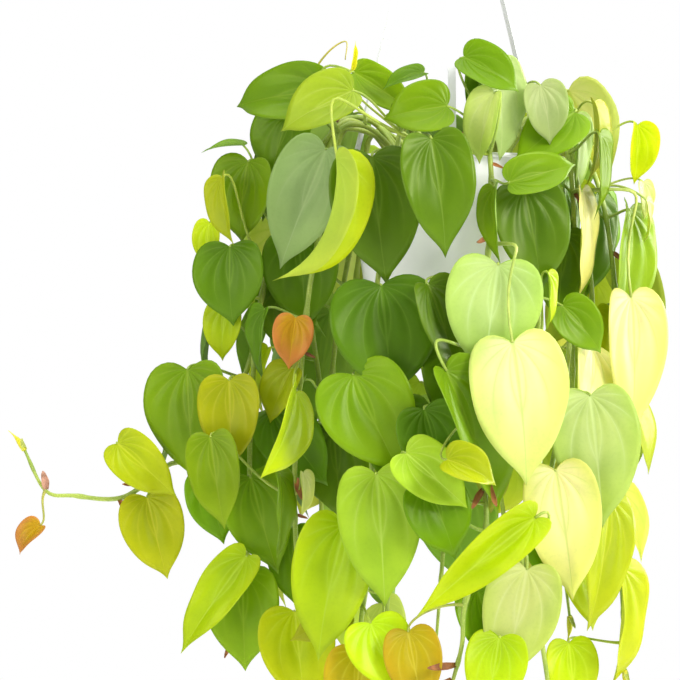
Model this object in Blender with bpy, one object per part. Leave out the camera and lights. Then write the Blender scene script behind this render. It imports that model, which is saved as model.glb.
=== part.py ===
"""A trailing heart-leaf philodendron in a white hanging basket.

The pot hangs by three straps from a plastic hook. The origin is the point where the hook bears on
whatever carries it, +Z is up, and the plant's front is towards -Y. All lengths are in metres, and the
tables of vines and leaves, which are set out by eye, are in millimetres and degrees.
"""

import math
from collections import namedtuple

import bmesh
import bpy
from mathutils import Matrix, Vector
from mathutils.bvhtree import BVHTree

MM = 0.001

# Clearances
GAP = 0.3 * MM  # between pieces that touch

# Basket
HANG_HEIGHT = 330 * MM  # from the hook's bearing point down to the top of the rim
RIM_RADIUS = 90 * MM  # outer edge of the rim
RIM_WIDTH = 10 * MM  # how far the rim stands out from the wall
RIM_THICKNESS = 2.6 * MM
POT_HEIGHT = 130 * MM
BASE_RADIUS = 62 * MM
WALL = 2.2 * MM
FLOOR = 2.6 * MM
SIDES = 36  # facets round each turned piece
DRAIN_HOLES = 4
DRAIN_RADIUS = 4 * MM
DRAIN_CIRCLE = 36 * MM
BEAD_HEIGHT = 9 * MM  # the snap bead, above the foot of the pot
BEAD_DEPTH = 1.2 * MM
BEAD_WIDTH = 2.4 * MM

# Saucer
SAUCER_WALL = 1.8 * MM
SAUCER_WELL = 6 * MM  # depth of the water well under the pot
SAUCER_SEAT = 9 * MM  # width of the ring that the pot stands on
SAUCER_LIP = 3 * MM  # how far the saucer reaches above the bead

# Soil
SOIL_DROP = 15 * MM  # from the top of the rim to the soil at the wall
SOIL_CROWN = 4 * MM  # how much higher the soil is in the middle
ROOT_DEPTH = 18 * MM  # how deep each vine goes into the soil

# Hanger
HOOK_ROD = 2.6 * MM  # radius of the hook's rod
HOOK_INNER = 15 * MM  # inner radius of the hook
HUB_DROP = 62 * MM  # from the bearing point to the top of the hub
HUB_RADIUS = 15 * MM
HUB_THICKNESS = 4 * MM
HUB_SLOT_CIRCLE = 9 * MM
STRAP_WIDTH = 6 * MM
STRAP_THICKNESS = 1.6 * MM
BUTTON_SPREAD = 1.4 * MM  # how far a strap's button stands out past the strap, each way
BUTTON_LENGTH = 3 * MM
STRAP_HEADINGS = (("strap_front", 0), ("strap_right", 120), ("strap_left", -120))

# Label
LABEL_HEADING = 57
LABEL_WIDTH = 24 * MM
LABEL_THICKNESS = 0.9 * MM
LABEL_DROP = 50 * MM  # how far its outer leg hangs under the top of the rim
LABEL_INNER_DROP = 11 * MM

# Plant
STEM_RADIUS = 2.3 * MM
STEM_SIDES = 6
STEM_STEP = 24 * MM  # spacing of a stem's rings
PETIOLE_RADIUS = 1.2 * MM
PETIOLE_RINGS = 4
RIM_CLEARANCE = 6 * MM  # from the rim out to the nearest hanging vine's middle
# Ways for a leaf stalk to go: how far it leans back behind its blade, and how far it runs before it
# bends, as a share of the way to the vine.
PETIOLE_WAYS = ((0.5, 0.35), (0.2, 0.35), (0.8, 0.35), (0.15, 0.9))
BLADE_THICKNESS = 1.0 * MM
HUB_SPREAD = math.radians(115)  # where the blade's edge meets the stalk, either side of the midrib
LEAF_STEP = 2.5 * MM  # how far a leaf moves out at a time to clear what is behind it
LEAF_STEPS = 40
STALKS_TRIED = 40
SHORTEST_STALK = 14 * MM

# One half of a blade's margin, from the notch round the lobe to the tip, as shares of the blade's
# length along the midrib and out from it.
MARGIN = ((-0.06, 0.06), (-0.09, 0.19), (0.06, 0.32), (0.34, 0.36), (0.64, 0.27), (0.85, 0.10))
BLADE_ROWS = (0.0, 0.5, 1.0)  # shares of the way from the stalk to the margin

RIM_TOP = -HANG_HEIGHT
BASE_Z = RIM_TOP - POT_HEIGHT
SLOT_CIRCLE = RIM_RADIUS - RIM_WIDTH / 2
WALL_TOP_RADIUS = RIM_RADIUS - RIM_WIDTH
SOIL_TOP = RIM_TOP - SOIL_DROP
FACET = math.cos(math.pi / SIDES)  # a facet's middle against its corners

Vine = namedtuple("Vine", "name root lift side points")
Leaf = namedtuple("Leaf", "name x drop out swing lift facing length breadth fold curl tone")

# Each vine: where it leaves the soil, how far it arches above the rim, whether it hangs in front of
# the pot (-1) or behind it (1), and its points: across, below the rim, and out from the pot.
VINES = (
    Vine("vine_front_left", (-25, -30), 22, -1,
         ((-45, 25, 14), (-58, 110, 18), (-62, 200, 22), (-60, 290, 26), (-70, 370, 24), (-62, 450, 20))),
    Vine("vine_front", (15, -42), 20, -1,
         ((29, 22, 12), (27, 70, 14), (20, 150, 18), (20, 220, 24), (24, 285, 34), (8, 340, 36),
          (5, 375, 34), (-14, 440, 28))),
    Vine("vine_front_right", (35, -28), 26, -1,
         ((58, 25, 12), (64, 110, 16), (67, 190, 24), (62, 265, 38), (51, 300, 38), (60, 340, 36),
          (50, 372, 34), (42, 425, 30))),
    Vine("vine_right_front", (48, -2), 30, -1,
         ((94, 28, 34), (94, 120, 20), (84, 200, 16), (70, 270, 12), (62, 322, 10), (66, 356, 12),
          (74, 410, 14), (80, 480, 12))),
    Vine("vine_right", (48, 18), 40, -1,
         ((116, 24, 6), (128, 100, 8), (129, 190, 8), (126, 260, 10), (133, 330, 10), (136, 400, 8))),
    Vine("vine_left_front", (-46, -10), 26, -1,
         ((-94, 28, 28), (-108, 100, 34), (-116, 180, 40), (-120, 260, 42), (-116, 340, 40),
          (-110, 420, 34), (-106, 490, 28))),
    Vine("vine_left", (-50, 14), 30, -1,
         ((-122, 30, 6), (-146, 110, 8), (-154, 200, 8), (-156, 290, 8), (-162, 370, 4))),
    Vine("vine_left_shoot", (-38, 34), 34, 1,
         ((-106, 30, 6), (-140, 110, 4), (-166, 190, 4), (-192, 238, 2), (-216, 238, 0),
          (-253, 264, 0), (-292, 263, 0), (-314, 259, 0), (-331, 226, 0))),
    Vine("vine_back_left", (-20, 44), 26, 1,
         ((-68, 26, 14), (-84, 110, 20), (-92, 200, 24), (-88, 290, 22), (-94, 370, 18))),
    Vine("vine_back", (8, 52), 22, 1,
         ((6, 25, 14), (0, 110, 20), (8, 200, 26), (0, 290, 24), (-8, 390, 20))),
    Vine("vine_back_right", (36, 40), 28, 1,
         ((74, 25, 14), (90, 110, 18), (96, 200, 22), (88, 280, 20), (94, 360, 16))),
)

# Each leaf: where its stalk meets the blade (across, below the rim, out from the pot), the way the tip
# swings (to the right from straight down), how far the tip lifts towards the viewer, the way the face
# turns (0 to the front, 90 to the right), the blade's length, its breadth against the usual, how far the
# halves fold up from the midrib, how far the blade curls back along it, and its colour.
LEAVES = (
    Leaf("leaf_01", -61, 4, 30, 5, 4, -2, 98, 1.02, 12, 18, "deep"),
    Leaf("leaf_02", -17, -8, 36, 10, 6, 6, 90, 0.9, 14, 22, "deep"),
    Leaf("leaf_03", -54, 101, 26, 6, 8, 0, 88, 1.35, 8, 20, "deep"),
    Leaf("leaf_04", 43, 144, 62, 9, 4, 4, 108, 0.98, 6, 16, "pale"),
    Leaf("leaf_05", 33, 86, 44, -8, 8, 0, 86, 1.2, 8, 20, "pale"),
    Leaf("leaf_06", -75, 168, 52, 24, 10, -8, 84, 1.25, 14, 24, "lime"),
    Leaf("leaf_07", -58, 242, 50, 6, 4, -6, 101, 0.9, 12, 16, "lime"),
    Leaf("leaf_08", -82, 281, 58, -14, 6, -6, 106, 0.85, 14, 18, "lime"),
    Leaf("leaf_09", -170, 173, 40, 2, 4, -10, 68, 1.05, 12, 16, "olive"),
    Leaf("leaf_10", -203, 165, 20, 4, 6, -20, 88, 1.15, 10, 20, "mid"),
    Leaf("leaf_11", -119, 125, 56, -8, 6, -4, 40, 1.15, 14, 14, "bronze"),
    Leaf("leaf_12", -87, 7, 98, -4, 2, 66, 110, 0.8, 58, 62, "lime"),
    Leaf("leaf_13", -96, -4, 50, -22, 2, -14, 100, 0.9, 16, 16, "deep"),
    Leaf("leaf_14", -76, -46, 44, -62, 26, -16, 64, 1.1, 20, 26, "lime"),
    Leaf("leaf_15", -97, -50, 20, -86, 10, -22, 84, 0.85, 26, 24, "mid"),
    Leaf("leaf_16", -5, -33, 30, -82, 22, 4, 50, 1.25, 16, 34, "mid"),
    Leaf("leaf_17", -74, -62, 6, 58, 20, 4, 60, 0.75, 20, 20, "mid"),
    Leaf("leaf_18", -124, -33, 12, -18, 10, -26, 58, 1.35, 10, 24, "mid"),
    Leaf("leaf_19", -156, 4, 16, -10, 6, -30, 64, 1.25, 12, 22, "mid"),
    Leaf("leaf_20", -170, 70, 24, 2, 8, -22, 62, 1.35, 8, 26, "deep"),
    Leaf("leaf_21", -157, 308, 40, -36, 8, -10, 92, 0.6, 24, 14, "lime"),
    Leaf("leaf_22", -154, 248, 26, 16, 6, -12, 78, 1.0, 12, 18, "mid"),
    Leaf("leaf_23", -62, 354, 50, 22, 18, 0, 56, 1.3, 10, 20, "lime"),
    Leaf("leaf_24", 60, 274, 70, -54, 10, 10, 116, 0.55, 40, 10, "lime"),
    Leaf("leaf_25", 104, 184, 36, 6, 4, 10, 102, 0.95, 10, 18, "pale"),
    Leaf("leaf_26", 77, 240, 24, 9, 4, 8, 100, 0.85, 12, 16, "pale"),
    Leaf("leaf_27", 121, 262, 16, -13, 4, 48, 104, 0.72, 16, 14, "olive"),
    Leaf("leaf_28", 139, 109, 14, 2, 4, 34, 109, 0.78, 12, 16, "pale"),
    Leaf("leaf_29", -6, 165, 48, 24, 6, 40, 124, 0.75, 34, 12, "lime"),
    Leaf("leaf_30", 93, -31, 20, -52, 14, 14, 62, 1.0, 18, 24, "mid"),
    Leaf("leaf_31", 140, 41, 8, -8, 2, 60, 108, 0.8, 20, 12, "olive"),
    Leaf("leaf_32", 32, -66, 8, 10, 4, 40, 74, 0.95, 16, 16, "mid"),
    Leaf("leaf_33", 133, 318, 8, 4, 0, 66, 98, 0.85, 22, 16, "lime"),
    Leaf("leaf_34", -235, 264, 6, 15, 8, -8, 66, 1.1, 12, 20, "olive"),
    Leaf("leaf_35", -318, 286, 2, -40, 30, -20, 30, 1.2, 30, 50, "bronze"),
    Leaf("leaf_36", -92, 120, 50, 8, 4, 172, 92, 1.1, 12, 20, "mid"),
    Leaf("leaf_37", 0, 40, 44, -6, 4, 180, 96, 1.1, 12, 20, "deep"),
    Leaf("leaf_38", 92, 150, 46, 6, 4, 188, 98, 1.05, 10, 18, "lime"),
    Leaf("leaf_39", 4, 250, 50, -8, 4, 180, 96, 1.05, 12, 18, "mid"),
    Leaf("leaf_40", -64, 425, 36, 4, 6, -4, 84, 0.95, 12, 18, "lime"),
    Leaf("leaf_41", 82, 440, 34, -4, 6, 8, 76, 0.95, 12, 18, "lime"),
)

COLOURS = {
    "plastic": (0.86, 0.86, 0.84),
    "label": (0.02, 0.10, 0.09),
    "soil": (0.045, 0.028, 0.018),
    "stem": (0.30, 0.42, 0.08),
    "deep": (0.04, 0.12, 0.01),
    "mid": (0.10, 0.24, 0.01),
    "lime": (0.30, 0.50, 0.02),
    "pale": (0.66, 0.80, 0.30),
    "olive": (0.36, 0.40, 0.02),
    "bronze": (0.45, 0.22, 0.03),
}
ROUGHNESS = {"plastic": 0.35, "label": 0.4, "soil": 0.95, "stem": 0.5}
LEAF_ROUGHNESS = 0.4


def clear_scene():
    for obj in list(bpy.data.objects):
        bpy.data.objects.remove(obj)


def material(name):
    """The Principled material of that name, made once."""
    found = bpy.data.materials.get(name)
    if found:
        return found
    made = bpy.data.materials.new(name)
    made.use_nodes = True
    shader = made.node_tree.nodes["Principled BSDF"]
    shader.inputs["Base Color"].default_value = (*COLOURS[name], 1.0)
    shader.inputs["Roughness"].default_value = ROUGHNESS.get(name, LEAF_ROUGHNESS)
    shader.inputs["Metallic"].default_value = 0.0
    return made


def add_object(name, points, faces, look, smooth=True):
    """An object of these points and faces, with its faces pointing out."""
    mesh = bpy.data.meshes.new(name)
    mesh.from_pydata([tuple(point) for point in points], [], faces)
    shape = bmesh.new()
    shape.from_mesh(mesh)
    bmesh.ops.recalc_face_normals(shape, faces=shape.faces)
    shape.to_mesh(mesh)
    shape.free()
    if smooth:
        mesh.shade_smooth()
        mesh.set_sharp_from_angle(angle=math.radians(40))
    mesh.materials.append(material(look))
    obj = bpy.data.objects.new(name, mesh)
    bpy.context.scene.collection.objects.link(obj)
    return obj


def cutter(obj):
    """Hides a shape that only cuts or joins."""
    obj.hide_render = True
    obj.display_type = "WIRE"
    return obj


def boolean(obj, other, operation):
    modifier = obj.modifiers.new(other.name, "BOOLEAN")
    modifier.operation = operation
    modifier.solver = "EXACT"
    modifier.object = cutter(other)


def heading(degrees):
    """The level direction at that heading: 0 to the front, 90 to the right."""
    angle = math.radians(degrees)
    return Vector((math.sin(angle), -math.cos(angle), 0))


def turned(profile, sides=SIDES):
    """Points and faces of a solid turned about the Z axis, from a profile that starts and ends on it."""
    points = []
    rings = []
    for radius, height in profile:
        count = sides if radius > 0 else 1
        rings.append([len(points) + i for i in range(count)])
        for i in range(count):
            angle = 2 * math.pi * i / sides
            points.append((radius * math.cos(angle), radius * math.sin(angle), height))
    faces = []
    for low, high in zip(rings, rings[1:]):
        for i in range(sides):
            j = (i + 1) % sides
            corners = (low[i % len(low)], low[j % len(low)], high[j % len(high)], high[i % len(high)])
            faces.append(tuple(dict.fromkeys(corners)))
    return points, faces


def swept(centres, ring_of, sides):
    """Points and faces of a closed tube: ring_of gives the ring at each centre."""
    points = []
    faces = []
    for index in range(len(centres)):
        points.extend(ring_of(index))
        if index:
            start = (index - 1) * sides
            for i in range(sides):
                j = (i + 1) % sides
                faces.append((start + i, start + j, start + sides + j, start + sides + i))
    faces.append(tuple(range(sides)))
    faces.append(tuple(len(points) - 1 - i for i in range(sides)))
    return points, faces


def directions(centres):
    """The way the line runs at each of its points."""
    found = []
    for index in range(len(centres)):
        before = centres[max(index - 1, 0)]
        after = centres[min(index + 1, len(centres) - 1)]
        found.append((after - before).normalized())
    return found


def carried(normal, direction):
    """The normal, squared up to the direction again."""
    return (normal - direction * normal.dot(direction)).normalized()


def tube(centres, radius, sides):
    """Points and faces of a round tube along a line, without twist."""
    along = directions(centres)
    normals = [along[0].orthogonal().normalized()]
    for direction in along[1:]:
        normals.append(carried(normals[-1], direction))

    def ring(index):
        across = along[index].cross(normals[index])
        angles = [2 * math.pi * i / sides for i in range(sides)]
        return [
            centres[index] + radius * (math.cos(a) * normals[index] + math.sin(a) * across) for a in angles
        ]

    return swept(centres, ring, sides)


def smooth_line(points, step):
    """Points about a step apart along a Catmull-Rom curve through these points."""
    ends = [2 * points[0] - points[1], *points, 2 * points[-1] - points[-2]]
    line = [points[0]]
    for p0, p1, p2, p3 in zip(ends, ends[1:], ends[2:], ends[3:]):
        count = max(1, round((p2 - p1).length / step))
        for i in range(1, count + 1):
            t = i / count
            line.append(
                0.5
                * (
                    2 * p1
                    + (p2 - p0) * t
                    + (2 * p0 - 5 * p1 + 4 * p2 - p3) * t**2
                    + (3 * p1 - p0 - 3 * p2 + p3) * t**3
                )
            )
    return line


def wall_radius(height):
    """Outer radius of the pot's wall at that height above its foot."""
    return BASE_RADIUS + (WALL_TOP_RADIUS - BASE_RADIUS) * height / (POT_HEIGHT - RIM_THICKNESS)


def inner_radius(height):
    return wall_radius(height) - WALL


def strap_ends(degrees):
    """The middles of a strap's slots, in the rim and in the hub."""
    out = heading(degrees)
    low = out * SLOT_CIRCLE + Vector((0, 0, RIM_TOP - RIM_THICKNESS / 2))
    high = out * HUB_SLOT_CIRCLE + Vector((0, 0, -HUB_DROP - HUB_THICKNESS / 2))
    return low, high


def strap_shape(degrees, sections):
    """A flat bar along a strap's line: each section is a distance from the rim slot, half a width, and
    half a thickness."""
    low, high = strap_ends(degrees)
    along = (high - low).normalized()
    wide = heading(degrees + 90)
    thick = along.cross(wide)
    centres = [low + along * section[0] for section in sections]

    def ring(index):
        half_width, half_thickness = sections[index][1:]
        side = wide * half_width
        face = thick * half_thickness
        return [centres[index] + way for way in (side + face, side - face, -side - face, -side + face)]

    return swept(centres, ring, 4)


def slot_cutter(name, degrees, at_hub):
    low, high = strap_ends(degrees)
    middle = (high - low).length if at_hub else 0
    reach = 3 * max(RIM_THICKNESS, HUB_THICKNESS)
    half = (STRAP_WIDTH / 2 + GAP, STRAP_THICKNESS / 2 + GAP)
    return add_object(name, *strap_shape(degrees, ((middle - reach, *half), (middle + reach, *half))), "plastic")


def make_straps():
    for name, degrees in STRAP_HEADINGS:
        low, high = strap_ends(degrees)
        length = (high - low).length
        lean = (high - low).normalized().z
        half = (STRAP_WIDTH / 2, STRAP_THICKNESS / 2)
        button = (half[0] + BUTTON_SPREAD, half[1] + BUTTON_SPREAD)
        # A tilted button clears the flat face by the height that its tilt costs at its edge.
        tilt = button[1] * math.sqrt(1 - lean**2) / lean
        under = -RIM_THICKNESS / 2 / lean - GAP - tilt
        over = length + HUB_THICKNESS / 2 / lean + GAP + tilt
        sections = (
            (under - BUTTON_LENGTH, *button),
            (under, *button),
            (under, *half),
            (over, *half),
            (over, *button),
            (over + BUTTON_LENGTH, *button),
        )
        add_object(name, *strap_shape(degrees, sections), "plastic", smooth=False)


def make_pot():
    bead_low = BEAD_HEIGHT
    bead_high = BEAD_HEIGHT + BEAD_WIDTH
    profile = (
        (0, BASE_Z),
        (BASE_RADIUS, BASE_Z),
        (wall_radius(bead_low), BASE_Z + bead_low),
        (wall_radius(bead_low) + BEAD_DEPTH, BASE_Z + bead_low + BEAD_WIDTH / 2),
        (wall_radius(bead_high), BASE_Z + bead_high),
        (WALL_TOP_RADIUS, RIM_TOP - RIM_THICKNESS),
        (RIM_RADIUS - RIM_THICKNESS / 4, RIM_TOP - RIM_THICKNESS),
        (RIM_RADIUS, RIM_TOP - RIM_THICKNESS / 2),
        (RIM_RADIUS - RIM_THICKNESS / 4, RIM_TOP),
        (WALL_TOP_RADIUS - WALL, RIM_TOP),
        (WALL_TOP_RADIUS - WALL, RIM_TOP - RIM_THICKNESS),
        (inner_radius(FLOOR), BASE_Z + FLOOR),
        (0, BASE_Z + FLOOR),
    )
    pot = add_object("pot", *turned(profile), "plastic")
    for name, degrees in STRAP_HEADINGS:
        boolean(pot, slot_cutter("rim_slot_" + name, degrees, at_hub=False), "DIFFERENCE")
    for index in range(DRAIN_HOLES):
        centre = heading(360 * (index + 0.5) / DRAIN_HOLES) * DRAIN_CIRCLE
        ends = [centre + Vector((0, 0, BASE_Z - FLOOR)), centre + Vector((0, 0, BASE_Z + 2 * FLOOR))]
        boolean(pot, add_object(f"drain_{index}", *tube(ends, DRAIN_RADIUS, 10), "plastic"), "DIFFERENCE")


def make_saucer():
    seat = BASE_Z - GAP
    bead_top = BEAD_HEIGHT + BEAD_WIDTH / 2
    lip = BEAD_HEIGHT + BEAD_WIDTH + SAUCER_LIP
    around_bead = wall_radius(BEAD_HEIGHT) + BEAD_DEPTH + GAP / FACET
    outside = around_bead + SAUCER_WALL
    hold = BEAD_HEIGHT + BEAD_WIDTH + GAP
    profile = (
        (0, seat - SAUCER_WELL - SAUCER_WALL),
        (BASE_RADIUS - SAUCER_SEAT, seat - SAUCER_WELL - SAUCER_WALL),
        (BASE_RADIUS, seat - SAUCER_WALL),
        (outside, seat + SAUCER_WALL),
        (outside, BASE_Z + lip),
        (wall_radius(lip) + GAP / FACET, BASE_Z + lip),
        (wall_radius(hold) + GAP / FACET, BASE_Z + hold),
        (around_bead, BASE_Z + bead_top),
        (around_bead, seat),
        (BASE_RADIUS - SAUCER_SEAT + SAUCER_WALL, seat),
        (BASE_RADIUS - SAUCER_SEAT, seat - SAUCER_WELL),
        (0, seat - SAUCER_WELL),
    )
    add_object("saucer", *turned(profile), "plastic")


def root_spot(vine):
    return Vector((vine.root[0] * MM, vine.root[1] * MM, 0))


def make_soil():
    level = POT_HEIGHT - SOIL_DROP
    bottom = FLOOR + GAP
    profile = (
        (0, BASE_Z + bottom),
        (inner_radius(bottom) - GAP / FACET, BASE_Z + bottom),
        (inner_radius(level) - GAP / FACET, SOIL_TOP),
        (inner_radius(level) * 0.6, SOIL_TOP + SOIL_CROWN * 0.75),
        (0, SOIL_TOP + SOIL_CROWN),
    )
    soil = add_object("soil", *turned(profile), "soil")
    for vine in VINES:
        spot = root_spot(vine)
        ends = [spot + Vector((0, 0, SOIL_TOP - ROOT_DEPTH)), spot + Vector((0, 0, RIM_TOP))]
        hole = tube(ends, (STEM_RADIUS + GAP) / math.cos(math.pi / 8), 8)
        boolean(soil, add_object("root_hole_" + vine.name, *hole, "soil"), "DIFFERENCE")


def make_hook():
    centre = Vector((0, 0, -HOOK_INNER))
    line = HOOK_INNER + HOOK_ROD
    angles = [math.radians(degrees) for degrees in range(-50, 215, 20)]
    bend = [centre + line * Vector((math.cos(a), 0, math.sin(a))) for a in angles]
    shank_top = centre.z - line - 3 * HOOK_ROD
    shank = [Vector((0, 0, -HUB_DROP - HUB_THICKNESS / 2)), Vector((0, 0, (shank_top - HUB_DROP) / 2))]
    rod = smooth_line([*shank, Vector((0, 0, shank_top)), *bend], 7 * MM)
    rod_object = add_object("hook_rod", *tube(rod, HOOK_ROD, 8), "plastic")
    hub = turned(
        (
            (0, -HUB_DROP - HUB_THICKNESS),
            (HUB_RADIUS, -HUB_DROP - HUB_THICKNESS),
            (HUB_RADIUS, -HUB_DROP),
            (0, -HUB_DROP),
        ),
        24,
    )
    hook = add_object("hook", *hub, "plastic")
    boolean(hook, rod_object, "UNION")
    for name, degrees in STRAP_HEADINGS:
        boolean(hook, slot_cutter("hub_slot_" + name, degrees, at_hub=True), "DIFFERENCE")


def make_label():
    """A flat label bent over the rim: one leg hangs outside, a short one inside."""
    half = LABEL_WIDTH / 2
    outer = RIM_RADIUS + GAP
    wall = inner_radius(POT_HEIGHT - LABEL_INNER_DROP) * FACET
    inner = math.sqrt(wall**2 - half**2) - GAP
    thick = LABEL_THICKNESS
    top = RIM_TOP + GAP
    outline = (
        (outer, RIM_TOP - LABEL_DROP),
        (outer, top),
        (inner, top),
        (inner, RIM_TOP - LABEL_INNER_DROP),
        (inner - thick, RIM_TOP - LABEL_INNER_DROP),
        (inner - thick, top + thick),
        (outer + thick, top + thick),
        (outer + thick, RIM_TOP - LABEL_DROP),
    )
    out = heading(LABEL_HEADING)
    side = heading(LABEL_HEADING + 90) * half
    count = len(outline)
    points = [out * r + Vector((0, 0, z)) + way for way in (-side, side) for r, z in outline]
    faces = [(i, (i + 1) % count, (i + 1) % count + count, i + count) for i in range(count)]
    faces.extend([tuple(range(count)), tuple(range(2 * count - 1, count - 1, -1))])
    add_object("plant_label", points, faces, "label", smooth=False)


def beside_pot(across, drop, out, side):
    """A point that far across, below the rim, and out from the front or the back of the pot."""
    pot_depth = math.sqrt(max(RIM_RADIUS**2 - (across * MM) ** 2, 0))
    return Vector((across * MM, side * (pot_depth + out * MM), RIM_TOP - drop * MM))


def clear_of_rim(point):
    """The point, moved straight out if a vine there would rub the rim."""
    distance = math.hypot(point.x, point.y)
    nearest = RIM_RADIUS + RIM_CLEARANCE
    if distance >= nearest:
        return point
    return Vector((point.x * nearest / distance, point.y * nearest / distance, point.z))


def vine_line(vine):
    """The middle line of a vine, from its root over the rim to its tip."""
    root = root_spot(vine)
    hanging = [clear_of_rim(beside_pot(*point, vine.side)) for point in vine.points]
    way = Vector((hanging[0].x, hanging[0].y, 0))
    way.normalize()
    lift = vine.lift * MM
    soil_at_root = SOIL_TOP + SOIL_CROWN
    points = [
        root + Vector((0, 0, SOIL_TOP - ROOT_DEPTH + GAP)),
        root + Vector((0, 0, soil_at_root)),
        root + Vector((0, 0, soil_at_root + ROOT_DEPTH)),
        (root + way * RIM_RADIUS) / 2 + Vector((0, 0, RIM_TOP + 0.9 * lift)),
        way * RIM_RADIUS + Vector((0, 0, RIM_TOP + STEM_RADIUS + 0.6 * lift)),
    ]
    return smooth_line([*points, *hanging], STEM_STEP)


def leaf_axes(leaf):
    """The directions across a blade, along it to the tip, and out of its upper face."""
    turn = (
        Matrix.Rotation(math.radians(leaf.facing), 3, "Z")
        @ Matrix.Rotation(math.radians(-leaf.lift), 3, "X")
        @ Matrix.Rotation(math.radians(-leaf.swing), 3, "Y")
    )
    return turn @ Vector((1, 0, 0)), turn @ Vector((0, 0, -1)), turn @ Vector((0, -1, 0))


def leaf_base(leaf, steps):
    side = 1 if abs(leaf.facing) > 100 else -1
    return beside_pot(leaf.x, leaf.drop, leaf.out, side) + Vector((0, side * steps * LEAF_STEP, 0))


def bent(leaf, base, axes, along, across, above):
    """A point of the flat blade, after the halves fold up and the blade curls back along its midrib."""
    side, tipward, face = axes
    fold = math.radians(leaf.fold)
    curl = math.radians(leaf.curl) / (leaf.length * MM)
    height = abs(across) * math.sin(fold) + above
    turn = curl * along
    forward = math.sin(turn) / curl + height * math.sin(turn)
    outward = height * math.cos(turn) - (1 - math.cos(turn)) / curl
    return base + side * across * math.cos(fold) + tipward * forward + face * outward


def blade(leaf, base, axes, thickness):
    """Points and faces of a blade, open only at the square where the stalk joins it."""
    length = leaf.length * MM
    left = [(along, -across * leaf.breadth) for along, across in MARGIN]
    right = [(along, across * leaf.breadth) for along, across in reversed(MARGIN)]
    margin = [*left, (1.0, 0.0), *right]
    rays = len(margin)
    rows = len(BLADE_ROWS)
    points = []
    for above in (thickness / 2, -thickness / 2):
        for share in BLADE_ROWS:
            for index, (along, across) in enumerate(margin):
                angle = HUB_SPREAD * (2 * index / (rays - 1) - 1)
                start = (PETIOLE_RADIUS * math.cos(angle), PETIOLE_RADIUS * math.sin(angle))
                flat = (
                    start[0] * (1 - share) + along * length * share,
                    start[1] * (1 - share) + across * length * share,
                )
                points.append(bent(leaf, base, axes, *flat, above))
    under = rays * rows

    def at(row, ray, below=0):
        return below + row * rays + ray

    faces = []
    for below in (0, under):
        faces.append(tuple(at(0, ray, below) for ray in range(rays)))
        for row in range(rows - 1):
            for ray in range(rays - 1):
                corners = (at(row, ray), at(row, ray + 1), at(row + 1, ray + 1), at(row + 1, ray))
                faces.append(tuple(corner + below for corner in corners))
    edge = [at(row, 0) for row in range(rows)]
    edge += [at(rows - 1, ray) for ray in range(1, rays)]
    edge += [at(row, rays - 1) for row in reversed(range(rows - 1))]
    for first, second in zip(edge, edge[1:]):
        faces.append((first, second, second + under, first + under))
    joint = (at(0, 0), at(0, rays - 1), at(0, rays - 1, under), at(0, 0, under))
    return points, faces, joint


def stalk_line(base, axes, stem_point, stem_way, petiole_way):
    """The middle line of a leaf stalk, from the blade back to the vine."""
    tipward, face = axes[1], axes[2]
    away = carried(base - stem_point, stem_way)
    start = stem_point + away * (STEM_RADIUS + GAP)
    lean, run = petiole_way
    reach = (base - start).length * run
    leaving = (tipward * (1 - lean) + face * lean).normalized()
    handles = (base, base - leaving * reach, start + away * reach, start)
    line = []
    for index in range(1, PETIOLE_RINGS + 1):
        t = index / PETIOLE_RINGS
        weights = ((1 - t) ** 3, 3 * t * (1 - t) ** 2, 3 * t**2 * (1 - t), t**3)
        line.append(sum((w * h for w, h in zip(weights, handles)), Vector()))
    return line, -away


def whole_leaf(leaf, steps, stem_point, stem_way, petiole_way, thickness=BLADE_THICKNESS):
    """Points and faces of a leaf: its blade, and its stalk drawn out from the blade's notch."""
    axes = leaf_axes(leaf)
    base = leaf_base(leaf, steps)
    points, faces, last = blade(leaf, base, axes, thickness)
    line, ending = stalk_line(base, axes, stem_point, stem_way, petiole_way)
    along = directions([base, *line])[1:]
    along[-1] = ending
    side = axes[0]
    for centre, direction in zip(line, along):
        side = carried(side, direction)
        up = side.cross(direction)
        corners = (-side + up, side + up, side - up, -side - up)
        ring = tuple(range(len(points), len(points) + 4))
        points.extend(centre + corner * PETIOLE_RADIUS * 0.8 for corner in corners)
        for i in range(4):
            j = (i + 1) % 4
            faces.append((last[i], last[j], ring[j], ring[i]))
        last = ring
    faces.append(last)
    return points, faces


def tree_of(points, faces):
    return BVHTree.FromPolygons([tuple(point) for point in points], faces)


def crosses_itself(points, faces):
    """Whether faces of a leaf that share no corner run through each other."""
    tree = tree_of(points, faces)
    for first, second in tree.overlap(tree):
        if not set(faces[first]) & set(faces[second]):
            return True
    return False


def evaluated_tree(obj):
    return BVHTree.FromObject(obj, bpy.context.evaluated_depsgraph_get())


def nearest_spots(lines, base):
    """Places on the vines for a stalk to start, the nearest first."""
    spots = []
    for line in lines:
        ways = directions(line)
        for index in range(3, len(line) - 1):
            distance = (line[index] - base).length
            if distance > SHORTEST_STALK:
                spots.append((distance, index, line[index], ways[index]))
    spots.sort(key=lambda spot: spot[:2])
    return [spot[2:] for spot in spots[:STALKS_TRIED]]


def place_leaf(leaf, lines, placed):
    """Puts a leaf on the nearest vine, moved out until it is clear of everything placed before it."""
    for steps in range(LEAF_STEPS):
        for spot in nearest_spots(lines, leaf_base(leaf, steps)):
            for petiole_way in PETIOLE_WAYS:
                roomy = whole_leaf(leaf, steps, *spot, petiole_way, BLADE_THICKNESS + 2 * GAP)
                if crosses_itself(*roomy):
                    continue
                with_room = tree_of(*roomy)
                if not any(with_room.overlap(tree) for tree in placed):
                    return whole_leaf(leaf, steps, *spot, petiole_way)
    raise ValueError(f"{leaf.name} found no clear place")


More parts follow.
